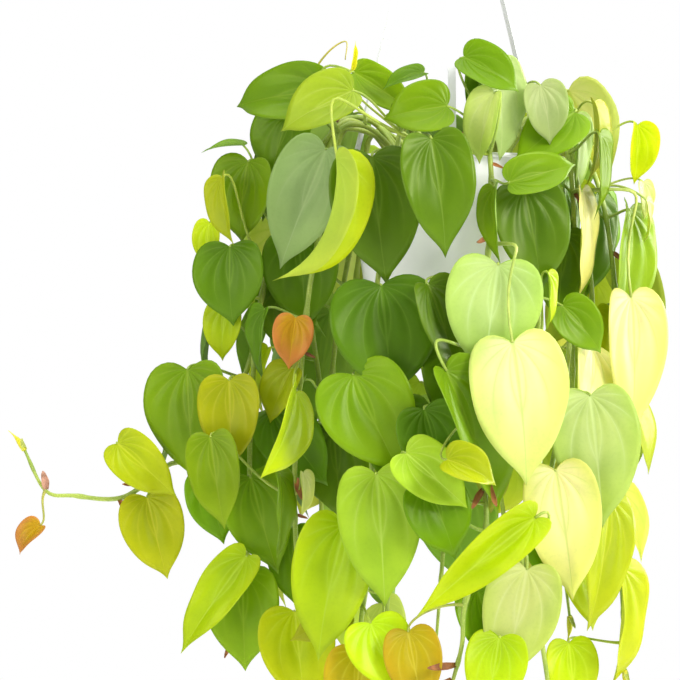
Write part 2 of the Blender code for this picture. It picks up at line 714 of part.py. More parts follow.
def make_plant():
    """The vines, then the leaves from the innermost out, each clear of what is there already."""
    placed = [evaluated_tree(obj) for obj in bpy.data.objects if not obj.hide_render]
    lines = []
    for vine in VINES:
        line = vine_line(vine)
        shape = tube(line, STEM_RADIUS, STEM_SIDES)
        add_object(vine.name, *shape, "stem")
        placed.append(tree_of(*shape))
        lines.append(line)
    for leaf in sorted(LEAVES, key=lambda leaf: leaf.out):
        shape = place_leaf(leaf, lines, placed)
        add_object(leaf.name, *shape, leaf.tone)
        placed.append(tree_of(*shape))


clear_scene()
make_pot()
make_saucer()
make_soil()
make_hook()
make_straps()
make_label()
bpy.context.view_layer.update()
make_plant()
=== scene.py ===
"""The looks of the trailing philodendron in its hanging basket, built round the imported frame.

Every place comes from the frame: the top of the rim, the rim's radius and the height of the soil are
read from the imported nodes, and the tables of vines and leaves are the same ones that the solids were
made from, with more leaves added between them. Tables are in millimetres and degrees.
"""

import math
import random
from collections import namedtuple

import bmesh
import bpy
import numpy as np
from mathutils import Matrix, Vector, noise
from mathutils.bvhtree import BVHTree


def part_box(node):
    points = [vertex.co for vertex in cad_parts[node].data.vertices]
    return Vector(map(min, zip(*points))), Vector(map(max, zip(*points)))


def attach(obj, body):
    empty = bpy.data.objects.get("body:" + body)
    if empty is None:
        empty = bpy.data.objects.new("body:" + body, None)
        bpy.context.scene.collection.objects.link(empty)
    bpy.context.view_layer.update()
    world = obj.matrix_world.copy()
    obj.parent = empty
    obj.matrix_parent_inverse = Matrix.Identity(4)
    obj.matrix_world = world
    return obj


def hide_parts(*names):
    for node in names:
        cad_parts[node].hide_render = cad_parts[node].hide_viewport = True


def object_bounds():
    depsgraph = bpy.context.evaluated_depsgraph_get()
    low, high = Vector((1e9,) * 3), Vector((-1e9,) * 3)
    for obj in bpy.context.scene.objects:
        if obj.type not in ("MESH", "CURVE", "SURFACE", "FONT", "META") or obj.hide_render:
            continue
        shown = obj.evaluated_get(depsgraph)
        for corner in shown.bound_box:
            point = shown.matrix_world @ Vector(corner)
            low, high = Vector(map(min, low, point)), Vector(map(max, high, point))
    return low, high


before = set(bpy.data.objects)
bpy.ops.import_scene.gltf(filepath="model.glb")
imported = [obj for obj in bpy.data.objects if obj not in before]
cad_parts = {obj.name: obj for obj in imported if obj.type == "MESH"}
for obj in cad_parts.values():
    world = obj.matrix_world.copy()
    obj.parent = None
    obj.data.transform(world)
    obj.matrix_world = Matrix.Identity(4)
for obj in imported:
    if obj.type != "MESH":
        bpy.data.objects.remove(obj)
CAD_LOW, CAD_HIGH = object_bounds()

MM = 0.001
POT_LOW, POT_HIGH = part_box("pot")
RIM_TOP = POT_HIGH.z
RIM_RADIUS = POT_HIGH.x
BASE_Z = POT_LOW.z
SOIL_CROWN_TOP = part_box("soil")[1].z

# Sizes that the solids were made with, which the frame's boxes don't give.
GAP = 0.3 * MM
WALL = 2.2 * MM
FLOOR = 2.6 * MM
POT_HEIGHT = 130 * MM
RIM_THICKNESS = 2.6 * MM
BASE_RADIUS = 62 * MM
WALL_TOP_RADIUS = 80 * MM
BEAD_HEIGHT = 9 * MM
BEAD_DEPTH = 1.2 * MM
BEAD_WIDTH = 2.4 * MM
SAUCER_WALL = 1.8 * MM
SAUCER_WELL = 6 * MM
SAUCER_SEAT = 9 * MM
SAUCER_LIP = 3 * MM
SOIL_DROP = 15 * MM
ROOT_DEPTH = 18 * MM
SOIL_CROWN = 4 * MM
STEM_RADIUS = 2.3 * MM
STEM_STEP = 24 * MM
RIM_CLEARANCE = 6 * MM
PETIOLE_RADIUS = 1.2 * MM
PETIOLE_WAYS = ((0.5, 0.35), (0.2, 0.35), (0.8, 0.35), (0.15, 0.9))
HUB_SPREAD = math.radians(115)
LEAF_STEP = 2.5 * MM
FACES_BACK = 100  # degrees; a leaf that faces further round than this is behind the pot
STALKS_TRIED = 40
SHORTEST_STALK = 14 * MM
MARGIN = ((-0.06, 0.06), (-0.09, 0.19), (0.06, 0.32), (0.34, 0.36), (0.64, 0.27), (0.85, 0.10))
BLADE_ROWS = (0.0, 0.5, 1.0)
TEST_THICKNESS = 1.6 * MM  # of the plain blade that tells whether a place is clear

# The outline of half a blade in the looks, along and across, as shares of its length.
FINE_MARGIN = (
    (-0.012, 0.014), (-0.042, 0.034), (-0.074, 0.085), (-0.090, 0.160), (-0.066, 0.240), (0.004, 0.302),
    (0.110, 0.342), (0.240, 0.360), (0.380, 0.354), (0.520, 0.320), (0.650, 0.262), (0.760, 0.188),
    (0.845, 0.108), (0.900, 0.050), (0.945, 0.018), (1.0, 0.0),
)
FRONT_DETAIL = (24, 11)  # rays on each side of the midrib, and rows from the stalk to the edge
BACK_DETAIL = (15, 7)
FINE_THICKNESS = 0.45 * MM

Vine = namedtuple("Vine", "name root lift side points")
Leaf = namedtuple("Leaf", "name x drop out swing lift facing length breadth fold curl tone")

VINES = (
    Vine("vine_front_left", (-25, -30), 22, -1,
         ((-45, 25, 14), (-58, 110, 18), (-62, 200, 22), (-60, 290, 26), (-70, 370, 24), (-62, 450, 20))),
    Vine("vine_front", (15, -42), 20, -1,
         ((29, 22, 12), (27, 70, 14), (20, 150, 18), (20, 220, 24), (24, 285, 34), (8, 340, 36),
          (5, 375, 34), (-14, 440, 28))),
    Vine("vine_front_right", (35, -28), 26, -1,
         ((58, 25, 12), (64, 110, 16), (67, 190, 24), (62, 265, 38), (51, 300, 38), (60, 340, 36),
          (50, 372, 34), (42, 425, 30))),
    Vine("vine_right_front", (48, -2), 30, -1,
         ((94, 28, 34), (94, 120, 20), (84, 200, 16), (70, 270, 12), (62, 322, 10), (66, 356, 12),
          (74, 410, 14), (80, 480, 12))),
    Vine("vine_right", (48, 18), 40, -1,
         ((116, 24, 6), (128, 100, 8), (129, 190, 8), (126, 260, 10), (133, 330, 10), (136, 400, 8))),
    Vine("vine_left_front", (-46, -10), 26, -1,
         ((-94, 28, 28), (-108, 100, 34), (-116, 180, 40), (-120, 260, 42), (-116, 340, 40),
          (-110, 420, 34), (-106, 490, 28))),
    Vine("vine_left", (-50, 14), 30, -1,
         ((-122, 30, 6), (-146, 110, 8), (-154, 200, 8), (-156, 290, 8), (-162, 370, 4))),
    Vine("vine_left_shoot", (-38, 34), 34, 1,
         ((-106, 30, 6), (-140, 110, 4), (-166, 190, 4), (-192, 238, 2), (-216, 238, 0),
          (-253, 264, 0), (-292, 263, 0), (-314, 259, 0), (-331, 226, 0))),
    Vine("vine_back_left", (-20, 44), 26, 1,
         ((-68, 26, 14), (-84, 110, 20), (-92, 200, 24), (-88, 290, 22), (-94, 370, 18))),
    Vine("vine_back", (8, 52), 22, 1,
         ((6, 25, 14), (0, 110, 20), (8, 200, 26), (0, 290, 24), (-8, 390, 20))),
    Vine("vine_back_right", (36, 40), 28, 1,
         ((74, 25, 14), (90, 110, 18), (96, 200, 22), (88, 280, 20), (94, 360, 16))),
)

LEAVES = [Leaf(*row) for row in (
    ("leaf_01", -61, 4, 30, 5, 4, -2, 98, 1.02, 12, 18, "deep"),
    ("leaf_02", -17, -8, 36, 10, 6, 6, 90, 0.9, 14, 22, "deep"),
    ("leaf_03", -54, 101, 26, 6, 8, 0, 88, 1.35, 8, 20, "deep"),
    ("leaf_04", 43, 144, 62, 9, 4, 4, 108, 0.98, 6, 16, "pale"),
    ("leaf_05", 33, 86, 44, -8, 8, 0, 86, 1.2, 8, 20, "pale"),
    ("leaf_06", -75, 168, 52, 24, 10, -8, 84, 1.25, 14, 24, "lime"),
    ("leaf_07", -58, 242, 50, 6, 4, -6, 101, 0.9, 12, 16, "lime"),
    ("leaf_08", -82, 281, 58, -14, 6, -6, 106, 0.85, 14, 18, "lime"),
    ("leaf_09", -170, 173, 40, 2, 4, -10, 68, 1.05, 12, 16, "olive"),
    ("leaf_10", -203, 165, 20, 4, 6, -20, 88, 1.15, 10, 20, "mid"),
    ("leaf_11", -119, 125, 56, -8, 6, -4, 40, 1.15, 14, 14, "bronze"),
    ("leaf_12", -87, 7, 98, -4, 2, 66, 110, 0.8, 58, 62, "lime"),
    ("leaf_13", -96, -4, 50, -22, 2, -14, 100, 0.9, 16, 16, "deep"),
    ("leaf_14", -76, -46, 44, -62, 26, -16, 64, 1.1, 20, 26, "lime"),
    ("leaf_15", -97, -50, 20, -86, 10, -22, 84, 0.85, 26, 24, "mid"),
    ("leaf_16", -5, -33, 30, -82, 22, 4, 50, 1.25, 16, 34, "mid"),
    ("leaf_17", -74, -62, 6, 58, 20, 4, 60, 0.75, 20, 20, "mid"),
    ("leaf_18", -124, -33, 12, -18, 10, -26, 58, 1.35, 10, 24, "mid"),
    ("leaf_19", -156, 4, 16, -10, 6, -30, 64, 1.25, 12, 22, "mid"),
    ("leaf_20", -170, 70, 24, 2, 8, -22, 62, 1.35, 8, 26, "deep"),
    ("leaf_21", -157, 308, 40, -36, 8, -10, 92, 0.6, 24, 14, "lime"),
    ("leaf_22", -154, 248, 26, 16, 6, -12, 78, 1.0, 12, 18, "mid"),
    ("leaf_23", -62, 354, 50, 22, 18, 0, 56, 1.3, 10, 20, "lime"),
    ("leaf_24", 60, 274, 70, -54, 10, 10, 116, 0.55, 40, 10, "lime"),
    ("leaf_25", 104, 184, 36, 6, 4, 10, 102, 0.95, 10, 18, "pale"),
    ("leaf_26", 77, 240, 24, 9, 4, 8, 100, 0.85, 12, 16, "pale"),
    ("leaf_27", 121, 262, 16, -13, 4, 48, 104, 0.72, 16, 14, "olive"),
    ("leaf_28", 139, 109, 14, 2, 4, 34, 109, 0.78, 12, 16, "pale"),
    ("leaf_29", -6, 165, 48, 24, 6, 40, 124, 0.75, 34, 12, "lime"),
    ("leaf_30", 93, -31, 20, -52, 14, 14, 62, 1.0, 18, 24, "mid"),
    ("leaf_31", 140, 41, 8, -8, 2, 60, 108, 0.8, 20, 12, "olive"),
    ("leaf_32", 32, -66, 8, 10, 4, 40, 74, 0.95, 16, 16, "mid"),
    ("leaf_33", 133, 318, 8, 4, 0, 66, 98, 0.85, 22, 16, "lime"),
    ("leaf_34", -235, 264, 6, 15, 8, -8, 66, 1.1, 12, 20, "olive"),
    ("leaf_35", -318, 286, 2, -40, 30, -20, 30, 1.2, 30, 50, "bronze"),
    ("leaf_36", -92, 120, 50, 8, 4, 172, 92, 1.1, 12, 20, "mid"),
    ("leaf_37", 0, 40, 44, -6, 4, 180, 96, 1.1, 12, 20, "deep"),
    ("leaf_38", 92, 150, 46, 6, 4, 188, 98, 1.05, 10, 18, "lime"),
    ("leaf_39", 4, 250, 50, -8, 4, 180, 96, 1.05, 12, 18, "mid"),
    ("leaf_40", -64, 425, 36, 4, 6, -4, 84, 0.95, 12, 18, "lime"),
    ("leaf_41", 82, 440, 34, -4, 6, 8, 76, 0.95, 12, 18, "lime"),
)]

# The leaves between those, seen from the front.
MORE_LEAVES = [Leaf(*row) for row in (
    ("b01", -160, -9, 10, -92, 75, -10, 34, 0.8, 20, 20, "mid"),
    ("b02", -186, 51, 10, -8, 4, -30, 36, 1.0, 16, 20, "lime"),
    ("b03", -176, 17, 24, 14, 4, -55, 54, 0.9, 30, 14, "olive"),
    ("b04", -46, -30, 20, 66, 30, 0, 36, 0.9, 20, 20, "deep"),
    ("b05", -22, -60, 4, -70, 50, 0, 34, 0.8, 24, 20, "deep"),
    ("b06", -76, -64, 18, 168, 0, 34, 22, 0.45, 50, 10, "young"),
    ("b07", -92, -60, 22, -120, 20, 0, 18, 0.6, 50, 10, "bronze"),
    ("b08", -112, -25, 16, 10, 8, -10, 62, 1.1, 12, 20, "deep"),
    ("b09", -173, 115, 10, -8, 6, -25, 44, 1.1, 14, 20, "lime"),
    ("b10", -143, 119, 44, -14, 2, -62, 56, 0.9, 24, 14, "deep"),
    ("b11", -127, 99, 26, 6, 6, -10, 60, 1.2, 10, 20, "deep"),
    ("b12", -122, 164, 44, -26, 10, -30, 48, 1.1, 24, 30, "olive"),
    ("b13", -118, 181, 58, -37, 4, 70, 84, 0.9, 20, 20, "lime"),
    ("b14", -137, 197, 24, 34, 6, -6, 72, 1.0, 12, 20, "deep"),
    ("b15", -118, 62, 16, 8, 6, 0, 74, 1.15, 10, 20, "deep"),
    ("b16", -160, 205, 12, 8, 6, -14, 66, 1.05, 12, 18, "mid"),
    ("b17", -188, 246, 16, 15, 6, -14, 56, 1.05, 12, 18, "mid"),
    ("b18", -184, 216, 34, 9, 4, -14, 72, 0.85, 14, 16, "lime"),
    ("b19", -131, 244, 36, 4, 2, 66, 66, 0.7, 20, 14, "mid"),
    ("b20", -122, 288, 32, 2, 6, -10, 62, 0.95, 14, 18, "mid"),
    ("b21", -113, 244, 46, 6, 4, 60, 34, 0.9, 20, 20, "pale"),
    ("b22", -160, 322, 26, 2, 6, -10, 76, 1.1, 10, 18, "mid"),
    ("b23", -120, 350, 42, 6, 8, -4, 74, 1.15, 12, 18, "lime"),
    ("b24", -80, 349, 46, -66, 16, 0, 48, 0.85, 26, 20, "olive"),
    ("b25", -70, 376, 50, -4, 10, 0, 62, 1.2, 12, 18, "amber"),
    ("b26", -34, 360, 42, 10, 8, 4, 60, 1.05, 12, 18, "amber"),
    ("b27", -20, 250, 42, 24, 10, 6, 60, 1.2, 12, 24, "mid"),
    ("b28", -22, 194, 28, 16, 8, 4, 62, 1.2, 10, 20, "deep"),
    ("b29", -6, 230, 52, 70, 26, 0, 42, 1.2, 30, 40, "olive"),
    ("b30", -36, 226, 44, 48, 14, 0, 62, 1.05, 20, 20, "lime"),
    ("b31", -42, 188, 22, 0, 6, 0, 72, 1.1, 10, 20, "deep"),
    ("b32", -19, 101, 44, 22, 6, 28, 74, 0.95, 26, 14, "mid"),
    ("b33", 2, 150, 22, 10, 6, 0, 74, 1.1, 10, 20, "deep"),
    ("b34", 66, -50, 20, 14, 6, 20, 46, 1.15, 14, 20, "pale"),
    ("b35", 98, -30, 26, 4, 2, 66, 62, 0.9, 18, 14, "pale"),
    ("b36", 42, 24, 42, 106, 20, 10, 58, 0.9, 30, 20, "mid"),
    ("b37", 54, 28, 24, 10, 6, 10, 82, 1.05, 12, 18, "deep"),
    ("b38", 30, 28, 34, 8, 4, -60, 60, 0.8, 26, 14, "mid"),
    ("b39", 89, 22, 22, 2, 2, 70, 96, 0.75, 14, 12, "mid"),
    ("b40", 100, 29, 30, 2, 2, 68, 86, 0.75, 14, 12, "pale"),
    ("b41", 114, 30, 18, -4, 2, 60, 82, 0.9, 14, 12, "deep"),
    ("b42", 114, -15, 24, 4, 2, 68, 66, 0.85, 14, 14, "olive"),
    ("b43", 145, -24, 16, 4, -4, 30, 46, 1.15, 46, 10, "pale"),
    ("b44", 132, 22, 22, 2, 0, 62, 86, 0.85, 18, 12, "pale"),
    ("b45", 150, 20, 12, 10, 0, 40, 30, 0.9, 20, 20, "pale"),
    ("b46", 152, 34, 10, 26, 0, 70, 36, 0.7, 20, 20, "pale"),
    ("b47", 8, -70, 8, 60, 26, 6, 50, 1.1, 24, 30, "mid"),
    ("b48", 30, -42, 32, -20, 4, -44, 56, 0.95, 28, 18, "pale"),
    ("b49", 113, 118, 26, 4, 2, 50, 58, 0.8, 20, 14, "olive"),
    ("b50", 72, 92, 36, 6, 2, 68, 46, 0.75, 20, 14, "lime"),
    ("b51", 84, 116, 40, 42, 16, 10, 48, 1.1, 14, 30, "mid"),
    ("b52", 66, 280, 40, 24, 8, 4, 58, 1.05, 12, 18, "mid"),
    ("b53", 55, 314, 34, -10, 4, 6, 90, 0.95, 12, 16, "pale"),
    ("b54", 34, 364, 44, -10, 10, 0, 62, 1.1, 12, 18, "lime"),
    ("b55", 92, 376, 18, 6, 6, 8, 60, 1.0, 12, 18, "lime"),
    ("b56", 30, -70, 2, -30, 20, 10, 44, 1.0, 20, 20, "deep"),
    ("b63", -257, 222, 8, 50, 8, -8, 62, 0.9, 14, 24, "olive"),
    ("b58", 18, 330, 20, 16, 6, 6, 64, 1.0, 14, 18, "mid"),
    ("b59", 100, 300, 6, 14, 6, 20, 70, 1.0, 14, 18, "lime"),
    ("b60", -90, 210, 14, 4, 6, 0, 74, 1.1, 12, 18, "deep"),
    ("b61", 112, 196, 4, 10, 4, 26, 84, 0.95, 12, 18, "lime"),
    ("b62", 86, 60, 12, -4, 4, 20, 70, 1.0, 12, 18, "deep"),
)]

# Colours of a blade: at its middle, towards its edge, and of its veins.
TONES = {
    "deep": ((0.105, 0.225, 0.004), (0.140, 0.280, 0.004), (0.200, 0.340, 0.030)),
    "mid": ((0.195, 0.370, 0.003), (0.240, 0.430, 0.003), (0.300, 0.470, 0.030)),
    "leafy": ((0.220, 0.370, 0.003), (0.270, 0.430, 0.003), (0.330, 0.480, 0.035)),
    "fresh": ((0.420, 0.610, 0.030), (0.470, 0.660, 0.030), (0.560, 0.720, 0.120)),
    # shade is darker than the blades' own green, for blades deep among the others: painted shade.
    "shade": ((0.080, 0.180, 0.003), (0.110, 0.220, 0.003), (0.150, 0.260, 0.020)),
    "lime": ((0.540, 0.690, 0.004), (0.600, 0.710, 0.005), (0.610, 0.750, 0.060)),
    # pale and palegreen are lighter and yellower than the blades' own green: painted light, standing in for
    # the strong light on the blades at the right.
    "pale": ((0.860, 0.860, 0.420), (0.780, 0.820, 0.220), (0.600, 0.730, 0.180)),
    "palegreen": ((0.560, 0.660, 0.230), (0.520, 0.660, 0.140), (0.640, 0.740, 0.360)),
    "olive": ((0.440, 0.500, 0.003), (0.500, 0.540, 0.005), (0.580, 0.600, 0.040)),
    "amber": ((0.580, 0.460, 0.008), (0.620, 0.420, 0.010), (0.720, 0.620, 0.060)),
    "bronze": ((0.580, 0.330, 0.010), (0.640, 0.270, 0.060), (0.660, 0.480, 0.010)),
    "young": ((0.720, 0.640, 0.010), (0.780, 0.700, 0.020), (0.820, 0.760, 0.060)),
    # This tone is a grey-green that stands in for the glossy reflection on some blades: painted reflection.
    "painted_sheen": ((0.470, 0.590, 0.240), (0.440, 0.580, 0.190), (0.540, 0.640, 0.290)),
}
# Blades whose colour is a step away from the rest of their tone.
SPECIAL_TONES = {
    "leaf_05": "palegreen", "leaf_06": "leafy", "leaf_07": "fresh", "leaf_13": "painted_sheen", "leaf_14": "fresh",
    "leaf_25": "palegreen", "leaf_29": "leafy", "leaf_31": "leafy", "leaf_32": "painted_sheen", "b18": "leafy",
    "b30": "fresh", "b32": "shade", "b34": "painted_sheen", "b35": "palegreen", "b37": "shade", "b42": "leafy",
    "b43": "lime", "b48": "palegreen", "b53": "palegreen",
}
STALK_COLOUR = (0.36, 0.46, 0.06)
VEIN_SPACING = 0.42
VEIN_BEND = 0.85
VEIN_RELIEF = 0.0065  # as a share of the blade's length
GROUPS_BETWEEN = 8  # objects that the smaller leaves are shared between
VINE_STEP_MM = 4  # spacing of a fine stem's rings
VINE_STEP = VINE_STEP_MM * MM
FILLER_STEP = 6 * MM  # spacing of the places where a filling leaf may start
TURNED_SIDES = 144
ROUNDED_STEPS = 8  # of the rim's and the bead's rounded sections
SHARP_EDGE = math.radians(34)


def up(height):
    """Straight up by this height."""
    return Vector((0, 0, height))


def on_circle(radius, step, steps, height=0.0):
    """The point at that step round a level circle about the Z axis."""
    angle = 2 * math.pi * step / steps
    return Vector((radius * math.cos(angle), radius * math.sin(angle), height))


def heading(degrees):
    """The level direction at that heading: 0 to the front, 90 to the right."""
    angle = math.radians(degrees)
    return Vector((math.sin(angle), -math.cos(angle), 0))


def directions(centres):
    """The way the line runs at each of its points."""
    found = []
    for index in range(len(centres)):
        before = centres[max(index - 1, 0)]
        after = centres[min(index + 1, len(centres) - 1)]
        found.append((after - before).normalized())
    return found


def carried(normal, direction):
    """The normal, squared up to the direction again."""
    return (normal - direction * normal.dot(direction)).normalized()


def smooth_line(points, step):
    """Points about a step apart along a Catmull-Rom curve through these points."""
    ends = [2 * points[0] - points[1], *points, 2 * points[-1] - points[-2]]
    line = [points[0]]
    for p0, p1, p2, p3 in zip(ends, ends[1:], ends[2:], ends[3:]):
        count = max(1, round((p2 - p1).length / step))
        for i in range(1, count + 1):
            t = i / count
            bend = (2 * p0 - 5 * p1 + 4 * p2 - p3) * t**2
            line.append(0.5 * (2 * p1 + (p2 - p0) * t + bend + (3 * p1 - p0 - 3 * p2 + p3) * t**3))
    return line


def beside_pot(across, drop, out, side):
    """A point that far across, below the rim, and out from the front or the back of the pot."""
    pot_depth = math.sqrt(max(RIM_RADIUS**2 - (across * MM) ** 2, 0))
    return Vector((across * MM, side * (pot_depth + out * MM), RIM_TOP - drop * MM))


def clear_of_rim(point):
    """The point, moved straight out if a vine there would rub the rim."""
    distance = math.hypot(point.x, point.y)
    nearest = RIM_RADIUS + RIM_CLEARANCE
    if distance >= nearest:
        return point
    return Vector((point.x * nearest / distance, point.y * nearest / distance, point.z))


def over_rim(root, way, lift):
    """A stem's points from above its root to the rim's outer edge."""
    return [
        root + up(SOIL_CROWN_TOP + ROOT_DEPTH),
        (root + way * RIM_RADIUS) / 2 + up(RIM_TOP + 0.9 * lift),
        way * RIM_RADIUS + up(RIM_TOP + STEM_RADIUS + 0.6 * lift),
    ]


def vine_points(vine):
    """The points that a vine's middle line runs through, from its root over the rim to its tip."""
    root = Vector((vine.root[0] * MM, vine.root[1] * MM, 0))
    hanging = [clear_of_rim(beside_pot(*point, vine.side)) for point in vine.points]
    way = Vector((hanging[0].x, hanging[0].y, 0)).normalized()
    soil_top = SOIL_CROWN_TOP - SOIL_CROWN
    buried = [root + up(soil_top - ROOT_DEPTH + GAP), root + up(SOIL_CROWN_TOP)]
    return [*buried, *over_rim(root, way, vine.lift * MM), *hanging]


def leaf_axes(leaf):
    """The directions across a blade, along it to the tip, and out of its upper face."""
    turn = (
        Matrix.Rotation(math.radians(leaf.facing), 3, "Z")
        @ Matrix.Rotation(math.radians(-leaf.lift), 3, "X")
        @ Matrix.Rotation(math.radians(-leaf.swing), 3, "Y")
    )
    return turn @ Vector((1, 0, 0)), turn @ Vector((0, 0, -1)), turn @ Vector((0, -1, 0))


def leaf_base(leaf, steps):
    """Where a blade starts, moved out by this many steps."""
    side = 1 if abs(leaf.facing) > FACES_BACK else -1
    return beside_pot(leaf.x, leaf.drop, leaf.out, side) + Vector((0, side * steps * LEAF_STEP, 0))


def bent(leaf, base, axes, along, across, above):
    """A point of the plain blade, after its halves fold up and it curls back along its midrib."""
    side, tipward, face = axes
    fold = math.radians(leaf.fold)
    curl = math.radians(leaf.curl) / (leaf.length * MM)
    height = abs(across) * math.sin(fold) + above
    turn = curl * along
    forward = math.sin(turn) / curl + height * math.sin(turn)
    outward = height * math.cos(turn) - (1 - math.cos(turn)) / curl
    return base + side * across * math.cos(fold) + tipward * forward + face * outward


def plain_blade(leaf, base, axes, thickness):
    """Points and faces of the plain blade that the solids have, for telling what is in its way."""
    length = leaf.length * MM
    left = [(along, -across * leaf.breadth) for along, across in MARGIN]
    right = [(along, across * leaf.breadth) for along, across in reversed(MARGIN)]
    margin = [*left, (1.0, 0.0), *right]
    rays = len(margin)
    rows = len(BLADE_ROWS)
    points = []
    for above in (thickness / 2, -thickness / 2):
        for share in BLADE_ROWS:
            for index, (along, across) in enumerate(margin):
                angle = HUB_SPREAD * (2 * index / (rays - 1) - 1)
                start = (PETIOLE_RADIUS * math.cos(angle), PETIOLE_RADIUS * math.sin(angle))
                flat = (
                    start[0] * (1 - share) + along * length * share,
                    start[1] * (1 - share) + across * length * share,
                )
                points.append(bent(leaf, base, axes, *flat, above))
    faces = []
    for below in (0, rays * rows):
        for row in range(rows - 1):
            for ray in range(rays - 1):
                first = below + row * rays + ray
                faces.append((first, first + 1, first + rays + 1, first + rays))
    return points, faces


def around_grid(rows, columns):
    """The points of a grid's edge, from its first one along the last row and back up to the first row."""
    last = (rows - 1) * columns
    edge = [row * columns for row in range(rows)]
    edge += [last + column for column in range(1, columns)]
    return edge + [row * columns + columns - 1 for row in reversed(range(rows - 1))]


def edge_faces(edge, under):
    """Faces that join a sheet's edge to that of the same sheet below it, whose points come after."""
    return [(first, first + under, second + under, second) for first, second in zip(edge, edge[1:])]


# Where a leaf's stalk starts on a vine, which way the vine runs there, and how the stalk bends.
Joint = namedtuple("Joint", "point way lean run")


def stalk_curve(base, axes, joint, count, into=0.0):
    """The middle line of a leaf stalk, from the blade back to the vine."""
    tipward, face = axes[1], axes[2]
    away = carried(base - joint.point, joint.way)
    start = joint.point + away * (STEM_RADIUS + GAP)
    reach = (base - start).length * joint.run
    leaving = (tipward * (1 - joint.lean) + face * joint.lean).normalized()
    handles = (base, base - leaving * reach, start + away * reach, start - away * into)
    line = []
    for index in range(count + 1):
        t = index / count
        weights = ((1 - t) ** 3, 3 * t * (1 - t) ** 2, 3 * t**2 * (1 - t), t**3)
        line.append(sum((w * h for w, h in zip(weights, handles)), Vector()))
    return line


def thin_ribbon(line):
    """Two crossed ribbons along a line, enough to tell what a stalk would run through."""
    points = []
    faces = []
    for offset in (Vector((PETIOLE_RADIUS, 0, 0)), Vector((0, PETIOLE_RADIUS, 0))):
        start = len(points)
        for centre in line:
            points.extend((centre - offset, centre + offset))
        for index in range(len(line) - 1):
            first = start + 2 * index
            faces.append((first, first + 1, first + 3, first + 2))
    return points, faces


def tree_of(points, faces):
    """A tree of the faces, which tells whether another's run through them."""
    return BVHTree.FromPolygons([tuple(point) for point in points], faces)


def node_tree(name):
    """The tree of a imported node."""
    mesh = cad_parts[name].data
    return tree_of([vertex.co for vertex in mesh.vertices], [tuple(face.vertices) for face in mesh.polygons])


def nearest_spots(lines, base):
    """Places on the vines for a stalk to start, the nearest first."""
    spots = []
    for line in lines:
        ways = directions(line)
        for index in range(3, len(line) - 1):
            distance = (line[index] - base).length
            if distance > SHORTEST_STALK:
                spots.append((distance, index, line[index], ways[index]))
    spots.sort(key=lambda spot: spot[:2])
    return [spot[2:] for spot in spots[:STALKS_TRIED]]


SAME_PLACE = 0.7 * MM
DEPTHS_TRIED = 24
STALKS_TRIED_BETWEEN = 14


def found_in_frame(leaf, lines):
    """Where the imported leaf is: how many steps it moved out, and where its stalk starts."""
    vertices = np.array([vertex.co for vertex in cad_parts[leaf.name].data.vertices])
    axes = leaf_axes(leaf)
    tip = bent(leaf, leaf_base(leaf, 0), axes, leaf.length * MM, 0, 0)
    near = np.abs(vertices[:, [0, 2]] - np.array((tip.x, tip.z))).max(axis=1) < SAME_PLACE
    moved = abs(vertices[near, 1].mean() - tip.y)
    steps = round(moved / LEAF_STEP)
    base = leaf_base(leaf, steps)
    best = None
    for stem_point, stem_way in nearest_spots(lines, base):
        for petiole_way in PETIOLE_WAYS:
            joint = Joint(stem_point, stem_way, *petiole_way)
            apart = 0.0
            for place in stalk_curve(base, axes, joint, 4)[1:]:
                apart += np.sort(np.linalg.norm(vertices - np.array(place), axis=1))[3]
            if best is None or apart < best[0]:
                best = (apart, joint)
    return steps, best[1]


def found_clear(leaf, lines, placed):
    """A place for a leaf that has no solid: the nearest depth and stalk that run through nothing, or
    the first clear depth if no stalk is clear. None if every depth is taken."""
    axes = leaf_axes(leaf)
    fallback = None
    for index in range(DEPTHS_TRIED):
        steps = (index + 1) // 2 * (1 if index % 2 else -1)
        base = leaf_base(leaf, steps)
        blade_tree = tree_of(*plain_blade(leaf, base, axes, TEST_THICKNESS))
        if any(blade_tree.overlap(tree) for tree in placed):
            continue
        for stem_point, stem_way in nearest_spots(lines, base)[:STALKS_TRIED_BETWEEN]:
            joint = Joint(stem_point, stem_way, *PETIOLE_WAYS[0])
            line = stalk_curve(base, axes, joint, 6)
            if fallback is None:
                fallback = (steps, joint)
            stalk_tree = tree_of(*thin_ribbon(line[:-1]))
            if not any(stalk_tree.overlap(tree) for tree in placed):
                return steps, joint
    return fallback


def margin_at(shares, breadth):
    """Points of one half of the margin, at these shares of the way from the notch to the tip."""
    knots = np.array(FINE_MARGIN)
    knots[:, 1] *= breadth
    steps = np.linalg.norm(np.diff(knots, axis=0), axis=1)
    where = np.concatenate(([0], np.cumsum(steps))) / steps.sum()
    along = np.interp(shares, where, knots[:, 0])
    across = np.interp(shares, where, knots[:, 1])
    for _ in range(2):  # rounds the corners between knots, with both ends kept
        along[1:-1] = (along[:-2] + 2 * along[1:-1] + along[2:]) / 4
        across[1:-1] = (across[:-2] + 2 * across[1:-1] + across[2:]) / 4
    return along, across


